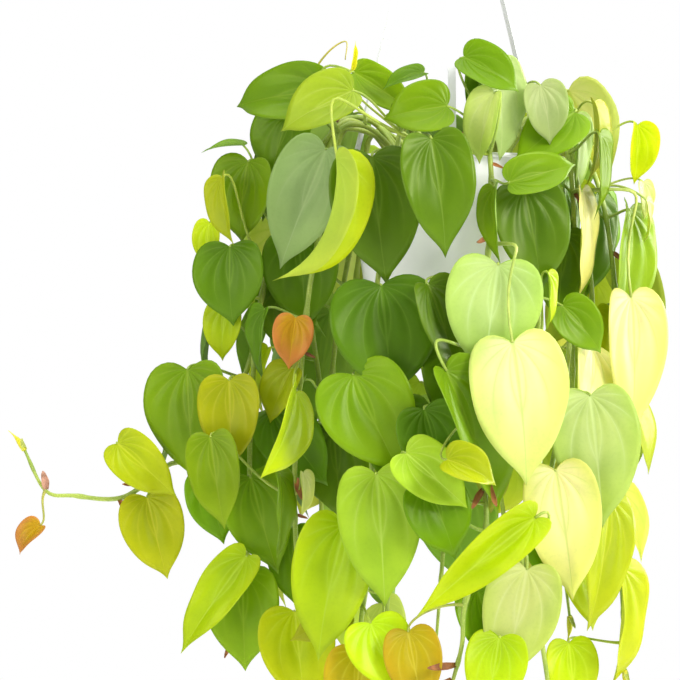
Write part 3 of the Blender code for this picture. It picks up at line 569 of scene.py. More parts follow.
def fine_blade(leaf, base, axes, rng, detail):
    """Points, faces and paint values of a blade with its veins, waves and thickness."""
    half_rays, row_count = detail
    length = leaf.length * MM
    shares = np.linspace(0, 1, half_rays + 1)
    along, across = margin_at(shares, leaf.breadth)
    edge_along = np.concatenate((along, along[-2::-1]))
    edge_across = np.concatenate((-across, across[-2::-1]))
    rays = len(edge_along)
    rows = np.linspace(0, 1, row_count + 1)[:, None]
    angle = np.linspace(-HUB_SPREAD, HUB_SPREAD, rays)
    hub = PETIOLE_RADIUS / length
    u = hub * np.cos(angle) * (1 - rows) + edge_along * rows
    v = hub * np.sin(angle) * (1 - rows) + edge_across * rows

    # Veins run out from the notch and bend towards the tip; the blade is raised between them.
    radius = np.hypot(u, v)
    bearing = np.arctan2(np.abs(v), u)
    vein = (bearing + VEIN_BEND * radius) / VEIN_SPACING
    inside = np.clip(radius / 0.12, 0, 1) * np.clip((1 - rows) / 0.25, 0, 1)
    relief = -np.cos(2 * math.pi * vein) * VEIN_RELIEF * inside * np.clip(np.abs(v) / 0.08, 0, 1)

    # Each blade has its own waves along the edge, a bend of its midrib, and a twist.
    wave = rng.uniform(0.006, 0.018)
    phase = rng.uniform(0, 2 * math.pi)
    count = rng.uniform(1.5, 3.0)
    around = np.linspace(-1, 1, rays)
    waves = wave * np.sin(2 * math.pi * count * around + phase) * rows**2.2
    twist = math.radians(rng.uniform(-16, 16))
    sideways = rng.uniform(-0.05, 0.05)

    fold = math.radians(leaf.fold)
    soft = 0.02
    rise = (np.sqrt(v**2 + soft**2) - soft) * math.sin(fold)
    flank = v * math.cos(fold)
    lobe_droop = -0.35 * np.clip(0.05 - u, 0, 1) ** 1.3
    height = rise + relief + waves + lobe_droop
    turned = twist * np.clip(u, 0, 1)
    across = flank * np.cos(turned) - height * np.sin(turned) + sideways * np.clip(u, 0, 1) ** 2
    height = flank * np.sin(turned) + height * np.cos(turned)

    # The curl tightens a little towards the tip.
    curl = math.radians(leaf.curl)
    turn = curl * u * (0.75 + 0.25 * np.clip(u, 0, 1) ** 2)
    forward = np.sin(curl * u) / curl + height * np.sin(turn)
    outward = -(1 - np.cos(turn)) / curl + height * np.cos(turn)

    side, tipward, face = (np.array(axis) for axis in axes)
    places = across[..., None] * side + forward[..., None] * tipward + outward[..., None] * face
    middle = np.array(base) + length * places
    normal = np.cross(np.gradient(middle, axis=0), np.gradient(middle, axis=1))
    size = np.linalg.norm(normal, axis=2, keepdims=True)
    normal = normal / np.maximum(size, 1e-12)
    normal[0] = normal[1]
    if np.sum(normal[row_count // 2, rays // 2] * face) < 0:
        normal = -normal
    thin = FINE_THICKNESS / 2 * (1 - 0.55 * rows[..., None] ** 6)
    upper = middle + normal * thin
    lower = middle - normal * thin
    points = np.concatenate((upper.reshape(-1, 3), lower.reshape(-1, 3)))
    under = rays * (row_count + 1)
    faces = []
    for row in range(row_count):
        for ray in range(rays - 1):
            first = row * rays + ray
            faces.append((first, first + 1, first + rays + 1, first + rays))
            faces.append((first + under, first + rays + under, first + rays + 1 + under, first + 1 + under))
    faces += edge_faces([*around_grid(row_count + 1, rays), 0], under)
    hub_fan = tuple(range(rays))
    faces.append(hub_fan)
    faces.append(tuple(corner + under for corner in reversed(hub_fan)))
    sheets = {"vein": vein, "rib": np.abs(v), "reach": u, "edge": rows * np.ones(rays)}
    flat = {key: np.tile(numbers.ravel(), 2) for key, numbers in sheets.items()}
    flat["under"] = np.repeat((0.0, 1.0), under)
    return points, faces, flat


def add_mesh(name, points, faces, values=None):
    """A mesh object of these points and faces, with the paint values that its material reads."""
    mesh = bpy.data.meshes.new(name)
    mesh.from_pydata([tuple(point) for point in points], [], [tuple(face) for face in faces])
    for key, numbers in (values or {}).items():
        numbers = np.asarray(numbers, np.float32)
        if numbers.ndim == 2:
            attribute = mesh.attributes.new(key, "FLOAT_COLOR", "POINT")
            attribute.data.foreach_set("color", numbers.ravel())
        else:
            attribute = mesh.attributes.new(key, "FLOAT", "POINT")
            attribute.data.foreach_set("value", numbers)
    mesh.shade_smooth()
    obj = bpy.data.objects.new(name, mesh)
    bpy.context.scene.collection.objects.link(obj)
    return obj


class Shell:
    """Closed shells gathered into one mesh, with their paint values and materials."""

    def __init__(self):
        self.points = []
        self.faces = []
        self.values = {}
        self.slots = []
        self.count = 0

    def add(self, points, faces, values, slot):
        points = np.asarray(points, float)
        self.points.append(points)
        self.faces.extend(tuple(corner + self.count for corner in face) for face in faces)
        self.slots.extend([slot] * len(faces))
        self.count += len(points)
        for key, numbers in values.items():
            self.values.setdefault(key, []).append(np.asarray(numbers, float))

    def build(self, name, materials):
        values = {key: np.concatenate(numbers) for key, numbers in self.values.items()}
        obj = add_mesh(name, np.concatenate(self.points), self.faces, values)
        for made in materials:
            obj.data.materials.append(made)
        obj.data.polygons.foreach_set("material_index", self.slots)
        turn_out(obj.data)
        return obj


def turn_out(mesh):
    """Turns every face outwards."""
    shape = bmesh.new()
    shape.from_mesh(mesh)
    bmesh.ops.recalc_face_normals(shape, faces=shape.faces)
    shape.to_mesh(mesh)
    shape.free()


def round_tube(centres, radii, sides):
    """Points and faces of a round tube of changing radius, with closed ends."""
    along = directions(centres)
    normals = [along[0].orthogonal().normalized()]
    for direction in along[1:]:
        normals.append(carried(normals[-1], direction))
    points = []
    faces = []
    for index, centre in enumerate(centres):
        across = along[index].cross(normals[index])
        for i in range(sides):
            angle = 2 * math.pi * i / sides
            out = math.cos(angle) * normals[index] + math.sin(angle) * across
            points.append(centre + radii[index] * out)
        if index:
            start = (index - 1) * sides
            for i in range(sides):
                j = (i + 1) % sides
                faces.append((start + i, start + j, start + sides + j, start + sides + i))
    faces.append(tuple(range(sides)))
    faces.append(tuple(len(points) - 1 - i for i in range(sides)))
    return points, faces


# ---------------------------------------------------------------- materials


class Nodes:
    """A short way to lay out a material's nodes."""

    def __init__(self, name):
        self.material = bpy.data.materials.new(name)
        self.material.use_nodes = True
        self.tree = self.material.node_tree
        self.shader = self.tree.nodes["Principled BSDF"]
        self.output = self.tree.nodes["Material Output"]

    def add(self, kind, inputs=(), **settings):
        node = self.tree.nodes.new(kind)
        for key, value in settings.items():
            setattr(node, key, value)
        for key, value in dict(inputs).items():
            self.put(node.inputs[key], value)
        return node

    def put(self, socket, value):
        if isinstance(value, bpy.types.NodeSocket):
            self.tree.links.new(value, socket)
        elif isinstance(value, tuple) and len(value) == 3 and socket.type == "RGBA":
            socket.default_value = (*value, 1.0)
        else:
            socket.default_value = value

    def surface(self, **inputs):
        """Sets the shader's inputs, which are named here with _ for each space."""
        for key, value in inputs.items():
            self.put(self.shader.inputs[key.replace("_", " ")], value)

    def attribute(self, name, output="Fac"):
        return self.add("ShaderNodeAttribute", attribute_name=name).outputs[output]

    def maths(self, operation, *values):
        return self.add("ShaderNodeMath", dict(enumerate(values)), operation=operation).outputs[0]

    def product(self, first, second):
        return self.maths("MULTIPLY", first, second)

    def tinted(self, colour, tint):
        return self.mix(1.0, colour, tint, "MULTIPLY")

    def mix(self, share, first, second, blend="MIX"):
        node = self.add("ShaderNodeMix", data_type="RGBA", blend_type=blend)
        self.put(node.inputs[0], share)
        self.put(node.inputs[6], first)
        self.put(node.inputs[7], second)
        return node.outputs[2]

    def noise(self, scale, detail, place):
        inputs = {"Scale": scale, "Detail": detail, "Vector": place}
        return self.add("ShaderNodeTexNoise", inputs).outputs["Fac"]

    def ranged(self, value, low, high, new_low=0.0, new_high=1.0):
        inputs = {"Value": value, "From Min": low, "From Max": high, "To Min": new_low, "To Max": new_high}
        return self.add("ShaderNodeMapRange", inputs, interpolation_type="SMOOTHSTEP").outputs[0]

    def place(self):
        return self.add("ShaderNodeTexCoord").outputs["Object"]

    def bump(self, height, strength, distance):
        inputs = {"Height": height, "Strength": strength, "Distance": distance}
        return self.add("ShaderNodeBump", inputs).outputs[0]


THROUGH_SHARE = 0.36  # of the light on a blade, how much goes through it


def leaf_material():
    """A waxy blade: its own colour, paler veins and underside, mottling, and light let through."""
    nodes = Nodes("leaf")
    place = nodes.place()
    paint = nodes.attribute("paint", "Color")
    rim_paint = nodes.attribute("rim_paint", "Color")
    vein_paint = nodes.attribute("vein_paint", "Color")
    names = ("edge", "under", "vein", "rib", "reach")
    edge, under, vein, rib, reach = (nodes.attribute(name) for name in names)

    # How close a point is to a side vein, and to the midrib.
    off_vein = nodes.maths("ABSOLUTE", nodes.maths("SUBTRACT", nodes.maths("FRACT", vein), 0.5))
    side_vein = nodes.ranged(off_vein, 0.44, 0.5)
    fade_out = nodes.ranged(edge, 0.55, 0.98, 1.0, 0.0)
    side_vein = nodes.product(side_vein, fade_out)
    midrib_width = nodes.ranged(reach, 0.0, 1.0, 0.016, 0.003)
    midrib = nodes.maths("SUBTRACT", 1.0, nodes.ranged(nodes.maths("DIVIDE", rib, midrib_width), 0.3, 1.4))
    veins = nodes.maths("MAXIMUM", nodes.product(side_vein, 0.55), midrib)

    broad = nodes.noise(26.0, 2.0, place)
    fine = nodes.noise(420.0, 4.0, place)
    body = nodes.mix(nodes.ranged(edge, 0.35, 1.0), paint, rim_paint)
    darker = nodes.tinted(body, (0.70, 0.78, 0.70))
    body = nodes.mix(nodes.ranged(broad, 0.35, 0.75, 0.0, 0.6), body, darker)
    speck = nodes.tinted(body, (0.86, 0.90, 0.86))
    body = nodes.mix(nodes.ranged(fine, 0.45, 0.8, 0.0, 0.5), body, speck)
    beside = nodes.product(nodes.product(nodes.ranged(off_vein, 0.30, 0.5), fade_out), 0.30)
    body = nodes.mix(beside, body, vein_paint)
    body = nodes.mix(nodes.product(veins, 0.60), body, vein_paint)
    underside = nodes.mix(0.35, body, (0.45, 0.60, 0.22))
    body = nodes.mix(nodes.product(under, 0.8), body, underside)

    height = nodes.maths("SUBTRACT", nodes.product(fine, 0.2), nodes.product(veins, 0.7))
    normal = nodes.bump(height, 0.30, 0.0006)
    dull = nodes.maths("ADD", under, nodes.product(broad, 0.4))
    nodes.surface(Base_Color=body, Normal=normal, Roughness=nodes.ranged(dull, 0.0, 1.4, 0.34, 0.62))
    nodes.surface(Specular_IOR_Level=0.42, Specular_Tint=(0.95, 1.0, 0.55))

    glow = {"Saturation": 1.1, "Value": 1.25, "Color": nodes.tinted(body, (1.0, 0.98, 0.30))}
    bright = nodes.add("ShaderNodeHueSaturation", glow).outputs[0]
    through = nodes.add("ShaderNodeBsdfTranslucent", {"Color": bright, "Normal": normal})
    shaders = {0: THROUGH_SHARE, 1: nodes.shader.outputs[0], 2: through.outputs[0]}
    both = nodes.add("ShaderNodeMixShader", shaders)
    nodes.put(nodes.output.inputs["Surface"], both.outputs[0])
    return nodes.material


def stalk_material():
    """Green stems and leaf stalks: smooth, with darker patches and fine paler flecks."""
    nodes = Nodes("stalk")
    place = nodes.place()
    paint = nodes.attribute("paint", "Color")
    broad = nodes.noise(60.0, 3.0, place)
    fine = nodes.noise(900.0, 2.0, place)
    darker = nodes.tinted(paint, (0.55, 0.66, 0.45))
    body = nodes.mix(nodes.ranged(broad, 0.35, 0.7, 0.0, 0.8), paint, darker)
    body = nodes.mix(nodes.ranged(fine, 0.5, 0.8, 0.0, 0.4), body, (0.62, 0.66, 0.25))
    roughness = nodes.ranged(broad, 0.2, 0.8, 0.35, 0.55)
    nodes.surface(Base_Color=body, Normal=nodes.bump(fine, 0.3, 0.0004), Roughness=roughness)
    nodes.surface(Subsurface_Weight=0.15, Subsurface_Radius=(0.002, 0.002, 0.0006))
    return nodes.material


def papery_material():
    """Dry brown sheaths."""
    nodes = Nodes("papery")
    place = nodes.place()
    paint = nodes.attribute("paint", "Color")
    dark = nodes.tinted(paint, (0.55, 0.50, 0.45))
    body = nodes.mix(nodes.ranged(nodes.noise(120.0, 4.0, place), 0.3, 0.7), paint, dark)
    normal = nodes.bump(nodes.noise(700.0, 3.0, place), 0.5, 0.0005)
    nodes.surface(Base_Color=body, Normal=normal, Roughness=0.6)
    return nodes.material


def plastic_material(name, colour, roughness):
    """Moulded plastic: even colour with a trace of dust, and a fine moulded skin."""
    nodes = Nodes(name)
    place = nodes.place()
    dust = nodes.ranged(nodes.noise(24.0, 4.0, place), 0.45, 0.8, 0.0, 0.5)
    body = nodes.mix(dust, colour, tuple(channel * 0.86 for channel in colour))
    dull = nodes.ranged(nodes.noise(90.0, 3.0, place), 0.3, 0.7, roughness - 0.06, roughness + 0.08)
    normal = nodes.bump(nodes.noise(1500.0, 2.0, place), 0.12, 0.0002)
    nodes.surface(Base_Color=body, Normal=normal, Roughness=dull)
    return nodes.material


def soil_material():
    """Dark grainy potting mix."""
    nodes = Nodes("potting_mix")
    place = nodes.place()
    paint = nodes.attribute("paint", "Color")
    grain = nodes.noise(260.0, 6.0, place)
    chips = nodes.add("ShaderNodeTexVoronoi", {"Scale": 300.0, "Vector": place}).outputs["Distance"]
    body = nodes.mix(nodes.ranged(grain, 0.35, 0.7), paint, nodes.tinted(paint, (0.35, 0.33, 0.30)))
    normal = nodes.bump(nodes.maths("ADD", grain, chips), 0.9, 0.003)
    nodes.surface(Base_Color=body, Normal=normal, Roughness=0.95)
    return nodes.material


# ---------------------------------------------------------------- the plant


def shade_of(tone, rng):
    """The colours of one blade's middle, edge and veins, a little off its tone's own."""
    level = rng.uniform(0.84, 1.16)
    warm = rng.uniform(0.92, 1.12)
    tint = np.array((level * warm, level, level))
    return [np.array(colour) * tint for colour in TONES[tone]]


def paint_values(count, colour, rim=None, veins=None, flat=None):
    """The paint values of a shell: its colours, and blade values where it has them."""
    values = {}
    for key, own in (("paint", colour), ("rim_paint", rim), ("vein_paint", veins)):
        values[key] = np.tile((*(colour if own is None else own), 1.0), (count, 1))
    for key in ("vein", "rib", "reach", "edge", "under"):
        values[key] = np.zeros(count) if flat is None else flat[key]
    return values


STALK_RINGS = 14
STALK_SIDES = 8
VINE_SIDES = 12
JOINT_SPACING = 52  # mm along a vine, from one thick joint to the next
JOINT_LENGTH = 4.0


def add_leaf(shell, leaf, base, joint, rng, detail=FRONT_DETAIL):
    """One whole leaf: its blade and its stalk."""
    axes = leaf_axes(leaf)
    points, faces, flat = fine_blade(leaf, base, axes, rng, detail)
    middle, rim, veins = shade_of(SPECIAL_TONES.get(leaf.name, leaf.tone), rng)
    shell.add(points, faces, paint_values(len(points), middle, rim, veins, flat), 0)
    line = stalk_curve(base, axes, joint, STALK_RINGS, into=2 * MM)
    scale = 0.75 + 0.35 * leaf.length / 100
    shares = [i / STALK_RINGS for i in range(STALK_RINGS + 1)]
    radii = [scale * MM * (0.95 + 0.15 * share + 0.75 * share**8) for share in shares]
    tube_points, tube_faces = round_tube(line, radii, STALK_SIDES)
    stalk_paint = 0.75 * np.array(STALK_COLOUR) + 0.25 * rim
    shell.add(tube_points, tube_faces, paint_values(len(tube_points), stalk_paint), 1)


def add_vine(shell, line):
    """A round stem along a line: thicker at its joints, and tapered to its tip."""
    count = len(line)
    radii = []
    for index in range(count):
        from_joint = index * VINE_STEP_MM % JOINT_SPACING - JOINT_SPACING / 2
        joint = math.exp(-((from_joint / JOINT_LENGTH) ** 2))
        taper = 1 - 0.45 * max(0.0, (index / count - 0.8) / 0.2)
        radii.append(STEM_RADIUS * taper * (0.86 + 0.30 * joint))
    points, faces = round_tube(line, radii, VINE_SIDES)
    shell.add(points, faces, paint_values(len(points), STALK_COLOUR), 0)


def make_plant(materials):
    """The leaves and stems of the solids, then the smaller leaves between them."""
    coarse = [smooth_line(vine_points(vine), STEM_STEP) for vine in VINES]
    placed = [node_tree(name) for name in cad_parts]
    for leaf in LEAVES:
        rng = random.Random(leaf.name)
        steps, joint = found_in_frame(leaf, coarse)
        shell = Shell()
        add_leaf(shell, leaf, leaf_base(leaf, steps), joint, rng)
        obj = shell.build(leaf.name + "_grown", materials)
        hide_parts(leaf.name)
        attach(obj, "root")
    groups = [Shell() for _ in range(GROUPS_BETWEEN)]
    for index, leaf in enumerate(sorted(MORE_LEAVES, key=lambda leaf: leaf.out)):
        rng = random.Random(leaf.name)
        spot = found_clear(leaf, coarse, placed)
        if spot is None:
            print("no clear place for", leaf.name)
            continue
        steps, joint = spot
        base = leaf_base(leaf, steps)
        placed.append(tree_of(*plain_blade(leaf, base, leaf_axes(leaf), TEST_THICKNESS)))
        add_leaf(groups[index % GROUPS_BETWEEN], leaf, base, joint, rng)
    for index, shell in enumerate(groups):
        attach(shell.build(f"leaves_between_{index}", materials), "root")
    for vine in VINES:
        shell = Shell()
        add_vine(shell, smooth_line(vine_points(vine), VINE_STEP))
        obj = shell.build(vine.name + "_grown", [materials[1]])
        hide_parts(vine.name)
        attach(obj, "root")
    return placed


# Stems at the sides and the back that only the looks have: which way they hang, in degrees round
# the pot from the front towards the right, how far down, and how far out.
Trail = namedtuple("Trail", "name heading drop out")
TRAILS = [Trail(*row) for row in (
    ("trail_a", 84, 300, 12), ("trail_b", 112, 380, 16), ("trail_c", 138, 310, 22),
    ("trail_d", 160, 400, 14), ("trail_e", 182, 330, 26), ("trail_f", 203, 410, 14),
    ("trail_g", 224, 320, 22), ("trail_h", 246, 390, 16), ("trail_i", 272, 300, 18),
)]
FILLER_TRIES = 10
UPPER_SHARE = 0.8  # of a back vine, how much of it carries filling leaves
TRAIL_ROOTS = 46 * MM  # how far from the pot's axis they leave the soil
TRAIL_TOP = 30  # the drops of a trail's first hanging point and from each to the next
TRAIL_DROP = 75
TRAIL_SETTLED = 90  # the drop by which it hangs at its full distance
ALLOWED_PAST_BOX = Vector((4 * MM, 10 * MM, 0))


def trail_line(trail, spacing):
    """The middle line of one of those stems, from the soil over the rim and down."""
    rng = random.Random(trail.name)
    out = heading(trail.heading)
    across = Vector((-out.y, out.x, 0))
    root = out * TRAIL_ROOTS
    lift = rng.uniform(22, 36) * MM
    points = [root + up(SOIL_CROWN_TOP - SOIL_CROWN), *over_rim(root, out, lift)]
    for drop in range(TRAIL_TOP, trail.drop, TRAIL_DROP):
        aside = across * rng.uniform(-14, 14) * MM
        away = (trail.out + rng.uniform(-4, 8)) * MM * min(1, drop / TRAIL_SETTLED)
        points.append(out * (RIM_RADIUS + RIM_CLEARANCE + away) + aside + up(RIM_TOP - drop * MM))
    return smooth_line(points, spacing)


def filler_leaf(name, point, side, share, rng):
    """A leaf for a place on a stem, and where its blade starts."""
    azimuth = math.degrees(math.atan2(point.x, -point.y)) + rng.uniform(-38, 38)
    out = heading(azimuth)
    across = Vector((-out.y, out.x, 0)) * side
    base = point + out * rng.uniform(12, 30) * MM + across * rng.uniform(10, 30) * MM
    base.z += rng.uniform(2, 22) * MM
    length = rng.uniform(66, 98) * (1 - 0.35 * share)
    # Blades right of the axis, towards the key and window lights, and a quarter of the others at random,
    # take the lighter tones: painted light; the rest take darker ones: painted shade.
    painted_lit_side = point.x > 0.03 or rng.random() < 0.25
    tones = ("lime", "pale", "lime", "olive", "mid") if painted_lit_side else ("deep", "mid", "mid", "lime", "olive")
    leaf = Leaf(
        name, 0, 0, 0, side * rng.uniform(2, 34), rng.uniform(2, 22), azimuth, length,
        rng.uniform(0.92, 1.22), rng.uniform(8, 24), rng.uniform(14, 32), rng.choice(tones),
    )
    return leaf, base


def inside_box(points):
    """Whether all these points are in the box of the solids, or a little outside it."""
    low = Vector(CAD_LOW) - ALLOWED_PAST_BOX
    high = Vector(CAD_HIGH) + ALLOWED_PAST_BOX
    return all(all(low[i] <= point[i] <= high[i] for i in range(3)) for point in points)


def fill_stem(shell, name, line, placed, first, spacing):
    """Leaves in turn along a stem, where nothing is in their way."""
    rng = random.Random("fill " + name)
    ways = directions(line)
    index = first
    side = 1
    while index < len(line) - 2:
        for attempt in range(FILLER_TRIES):
            leaf, base = filler_leaf(f"{name}_{index}_{attempt}", line[index], side, index / len(line), rng)
            axes = leaf_axes(leaf)
            blade_points, blade_faces = plain_blade(leaf, base, axes, TEST_THICKNESS)
            if not inside_box(blade_points):
                continue
            blade_tree = tree_of(blade_points, blade_faces)
            if any(blade_tree.overlap(tree) for tree in placed):
                continue
            joint = Joint(line[index], ways[index], *PETIOLE_WAYS[0])
            stalk = stalk_curve(base, axes, joint, 6)
            stalk_tree = tree_of(*thin_ribbon(stalk[1:-1]))
            if any(stalk_tree.overlap(tree) for tree in placed):
                continue
            placed.append(blade_tree)
            add_leaf(shell, leaf, base, joint, rng, BACK_DETAIL)
            break
        side = -side
        index += spacing + rng.randrange(3)


def make_filling(placed, materials):
    """The stems and leaves that fill the sides and the back."""
    for trail in TRAILS:
        line = trail_line(trail, FILLER_STEP)
        shell = Shell()
        fill_stem(shell, trail.name, line, placed, first=7, spacing=4)
        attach(shell.build("leaves_" + trail.name, materials), "root")
        shell = Shell()
        add_vine(shell, trail_line(trail, VINE_STEP))
        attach(shell.build(trail.name, [materials[1]]), "root")
    for vine in VINES:
        if vine.side > 0:
            line = smooth_line(vine_points(vine), FILLER_STEP)
            upper = line[: int(UPPER_SHARE * len(line))]
            shell = Shell()
            fill_stem(shell, vine.name, upper, placed, first=9, spacing=6)
            if shell.count:
                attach(shell.build("leaves_of_" + vine.name, materials), "root")


# Dry sheaths at the joints: where they start, across and below the rim, which way they point
# (turned from straight down), their length and their paint.
Sheath = namedtuple("Sheath", "x drop swing length tone", defaults=("brown",))
SHEATHS = [Sheath(*row) for row in (
    (16, -20, -70, 18), (8, -24, 30, 14), (39, 8, 60, 12), (95, 26, 20, 14), (17, 64, -60, 14),
    (-146, 64, 20, 10), (-107, 152, 60, 12), (-156, 178, 30, 10), (-110, 188, 14, 30),
    (-102, 190, -20, 22), (20, 244, 20, 30), (40, 252, -30, 22), (52, 278, -50, 34), (30, 290, 40, 24),
    (-158, 366, -25, 30), (-124, 246, 16, 20), (-122, 276, 70, 10), (-256, 262, 30, 26),
    (-238, 246, -80, 22), (-312, 258, -172, 22, "pink"), (-54, 338, -70, 20), (-6, 382, -80, 34),
    (-10, 392, -50, 26), (-124, -66, -150, 16, "pink"), (-116, -66, 160, 14, "pink"), (112, 76, 40, 14),
    (78, 170, -40, 16), (126, 208, 60, 14), (66, 410, 60, 12), (-60, 408, 40, 18),
)]
SHEATH_COLOURS = {"brown": (0.46, 0.17, 0.05), "pink": (0.66, 0.36, 0.24), "green": (0.52, 0.56, 0.10)}
SHEATH_ROWS = 9
SHEATH_COLUMNS = 7
SHEATH_THICKNESS = 0.3 * MM
FRONT_WEIGHT = 0.12  # how far a sheath goes for a stem nearer to the front, as a share of the depth


def sheath_shape(start, way, outwards, length, rng):
    """A dry sheath: a pointed, half-rolled strip that curls away from the stem."""
    width = length * rng.uniform(0.16, 0.24) + 1.2 * MM
    bend = rng.uniform(0.3, 1.3)
    roll = rng.uniform(1.6, 2.6)
    twist = rng.uniform(-1.2, 1.2)
    across = way.cross(outwards).normalized()
    outwards = across.cross(way).normalized()
    upper = []
    lower = []
    for row in range(SHEATH_ROWS):
        t = row / (SHEATH_ROWS - 1)
        middle = start + way * length * (t - 0.12 * bend * t**2) + outwards * length * 0.35 * bend * t**2
        half = width * math.sin(math.pi * (0.18 + 0.80 * t)) ** 0.8 / 2
        turn = twist * t
        aside = across * math.cos(turn) + outwards * math.sin(turn)
        inner = outwards * math.cos(turn) - across * math.sin(turn)
        for column in range(SHEATH_COLUMNS):
            angle = roll * (column / (SHEATH_COLUMNS - 1) - 0.5)
            rim = 1 + 0.10 * math.sin(9 * t + 5 * column)
            point = middle + aside * half * math.sin(angle) * rim
            point += inner * half * (1 - math.cos(angle)) * rim
            upper.append(point + inner * SHEATH_THICKNESS / 2)
            lower.append(point - inner * SHEATH_THICKNESS / 2)
    points = upper + lower
    under = len(upper)
    faces = []
    for row in range(SHEATH_ROWS - 1):
        for column in range(SHEATH_COLUMNS - 1):
            a = row * SHEATH_COLUMNS + column
            faces.append((a, a + 1, a + SHEATH_COLUMNS + 1, a + SHEATH_COLUMNS))
            faces.append(tuple(corner + under for corner in reversed(faces[-1])))
    top = reversed(range(SHEATH_COLUMNS - 1))
    faces += edge_faces([*around_grid(SHEATH_ROWS, SHEATH_COLUMNS), *top][::-1], under)
    return points, faces


def make_sheaths(lines, material):
    """The dry sheaths of the table, each on the stem nearest to its place, in front if several are."""
    shell = Shell()
    for index, sheath in enumerate(SHEATHS):
        rng = random.Random(f"sheath {index}")
        best = None
        for line in lines:
            ways = directions(line)
            for point, way in zip(line, ways):
                apart = math.hypot(point.x - sheath.x * MM, point.z - RIM_TOP + sheath.drop * MM)
                score = apart + FRONT_WEIGHT * point.y
                if best is None or score < best[0]:
                    best = (score, point, way)
        point, along = best[1:]
        turn = math.radians(sheath.swing)
        way = Vector((math.sin(turn), rng.uniform(-0.45, -0.1), -math.cos(turn))).normalized()
        outwards = carried(Vector((0, -1, 0.2)), way)
        start = point + carried(way, along) * STEM_RADIUS * 0.6
        points, faces = sheath_shape(start, way, outwards, sheath.length * MM, rng)
        colour = np.array(SHEATH_COLOURS[sheath.tone]) * rng.uniform(0.75, 1.25)
        shell.add(points, faces, paint_values(len(points), colour), 0)
    obj = shell.build("sheaths", [material])
    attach(obj, "root")


TIP_RINGS = 12
TIP_SIDES = 10
TIP_LEAST_RADIUS = 0.15 * MM
# A thin shoot that arches above the left of the basket: across, out from the axis, and above the rim.
ARCH = ((-106, -20, 60), (-101, -20, 72), (-90, -22, 84), (-80, -24, 88), (-81, -26, 74))
ARCH_COLOUR = (0.60, 0.48, 0.06)


def make_tips(lines, materials):
    """A rolled young leaf at the end of each stem, in a green sheath."""
    shell = Shell()
    for index, line in enumerate(lines):
        rng = random.Random(f"tip {index}")
        way = (line[-1] - line[-3]).normalized()
        lean = Vector((rng.uniform(-0.5, 0.5), rng.uniform(-0.5, 0.1), rng.uniform(-0.2, 0.5)))
        length = rng.uniform(18, 26) * MM
        centres = []
        radii = []
        for step in range(TIP_RINGS + 1):
            t = step / TIP_RINGS
            centres.append(line[-1] - way * 2 * MM + way * length * t + lean * length * 0.5 * t**2)
            swell = 0.75 + 0.55 * math.sin(math.pi * min(1, 1.25 * t + 0.1)) - 0.66 * t
            radii.append(max(STEM_RADIUS * swell, TIP_LEAST_RADIUS))
        points, faces = round_tube(centres, radii, TIP_SIDES)
        shell.add(points, faces, paint_values(len(points), TONES["young"][0]), 0)
        outwards = carried(Vector((0.3, -1, 0)), way)
        side = (way + 0.5 * outwards).normalized()
        points, faces = sheath_shape(line[-1] - way * 3 * MM, side, outwards, 17 * MM, rng)
        shell.add(points, faces, paint_values(len(points), SHEATH_COLOURS["green"]), 0)
    line = smooth_line([Vector(point) * MM + up(RIM_TOP) for point in ARCH], 3 * MM)
    radii = [MM * (1.0 - 0.6 * i / (len(line) - 1)) for i in range(len(line))]
    points, faces = round_tube(line, radii, STALK_SIDES)
    shell.add(points, faces, paint_values(len(points), ARCH_COLOUR), 0)
    obj = shell.build("growing_tips", materials)
    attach(obj, "root")


def lathe(name, profile, made):
    """A turned piece with smooth sides and crisp edges, from a profile that starts and ends on the axis."""
    sides = TURNED_SIDES
    points, faces, rings = [], [], []
    for radius, height in profile:
        if radius < 1e-6:
            rings.append([len(points)])
            points.append(up(height))
            continue
        rings.append(list(range(len(points), len(points) + sides)))
        points += [on_circle(radius, i, sides, height) for i in range(sides)]
    for ring, other in zip(rings, rings[1:]):
        for i in range(sides):
            j = (i + 1) % sides
            if len(ring) == 1:
                faces.append((ring[0], other[j], other[i]))
            elif len(other) == 1:
                faces.append((ring[i], ring[j], other[0]))
            else:
                faces.append((ring[i], ring[j], other[j], other[i]))
    obj = add_mesh(name, points, faces)
    turn_out(obj.data)
    obj.data.set_sharp_from_angle(angle=SHARP_EDGE)
    obj.data.materials.append(made)
    return obj


def wall_radius(height):
    """Outer radius of the pot's wall at that height above its foot."""
    return BASE_RADIUS + (WALL_TOP_RADIUS - BASE_RADIUS) * height / (POT_HEIGHT - RIM_THICKNESS)


def bead_arc(inner, depth):
    """The snap bead's rounded section, from its lower edge to its upper one."""
    arc = []
    for step in range(1, ROUNDED_STEPS):
        angle = math.pi * step / ROUNDED_STEPS
        height = BEAD_HEIGHT + BEAD_WIDTH * (1 - math.cos(angle)) / 2
        arc.append((inner + depth * math.sin(angle), BASE_Z + height))
    return arc


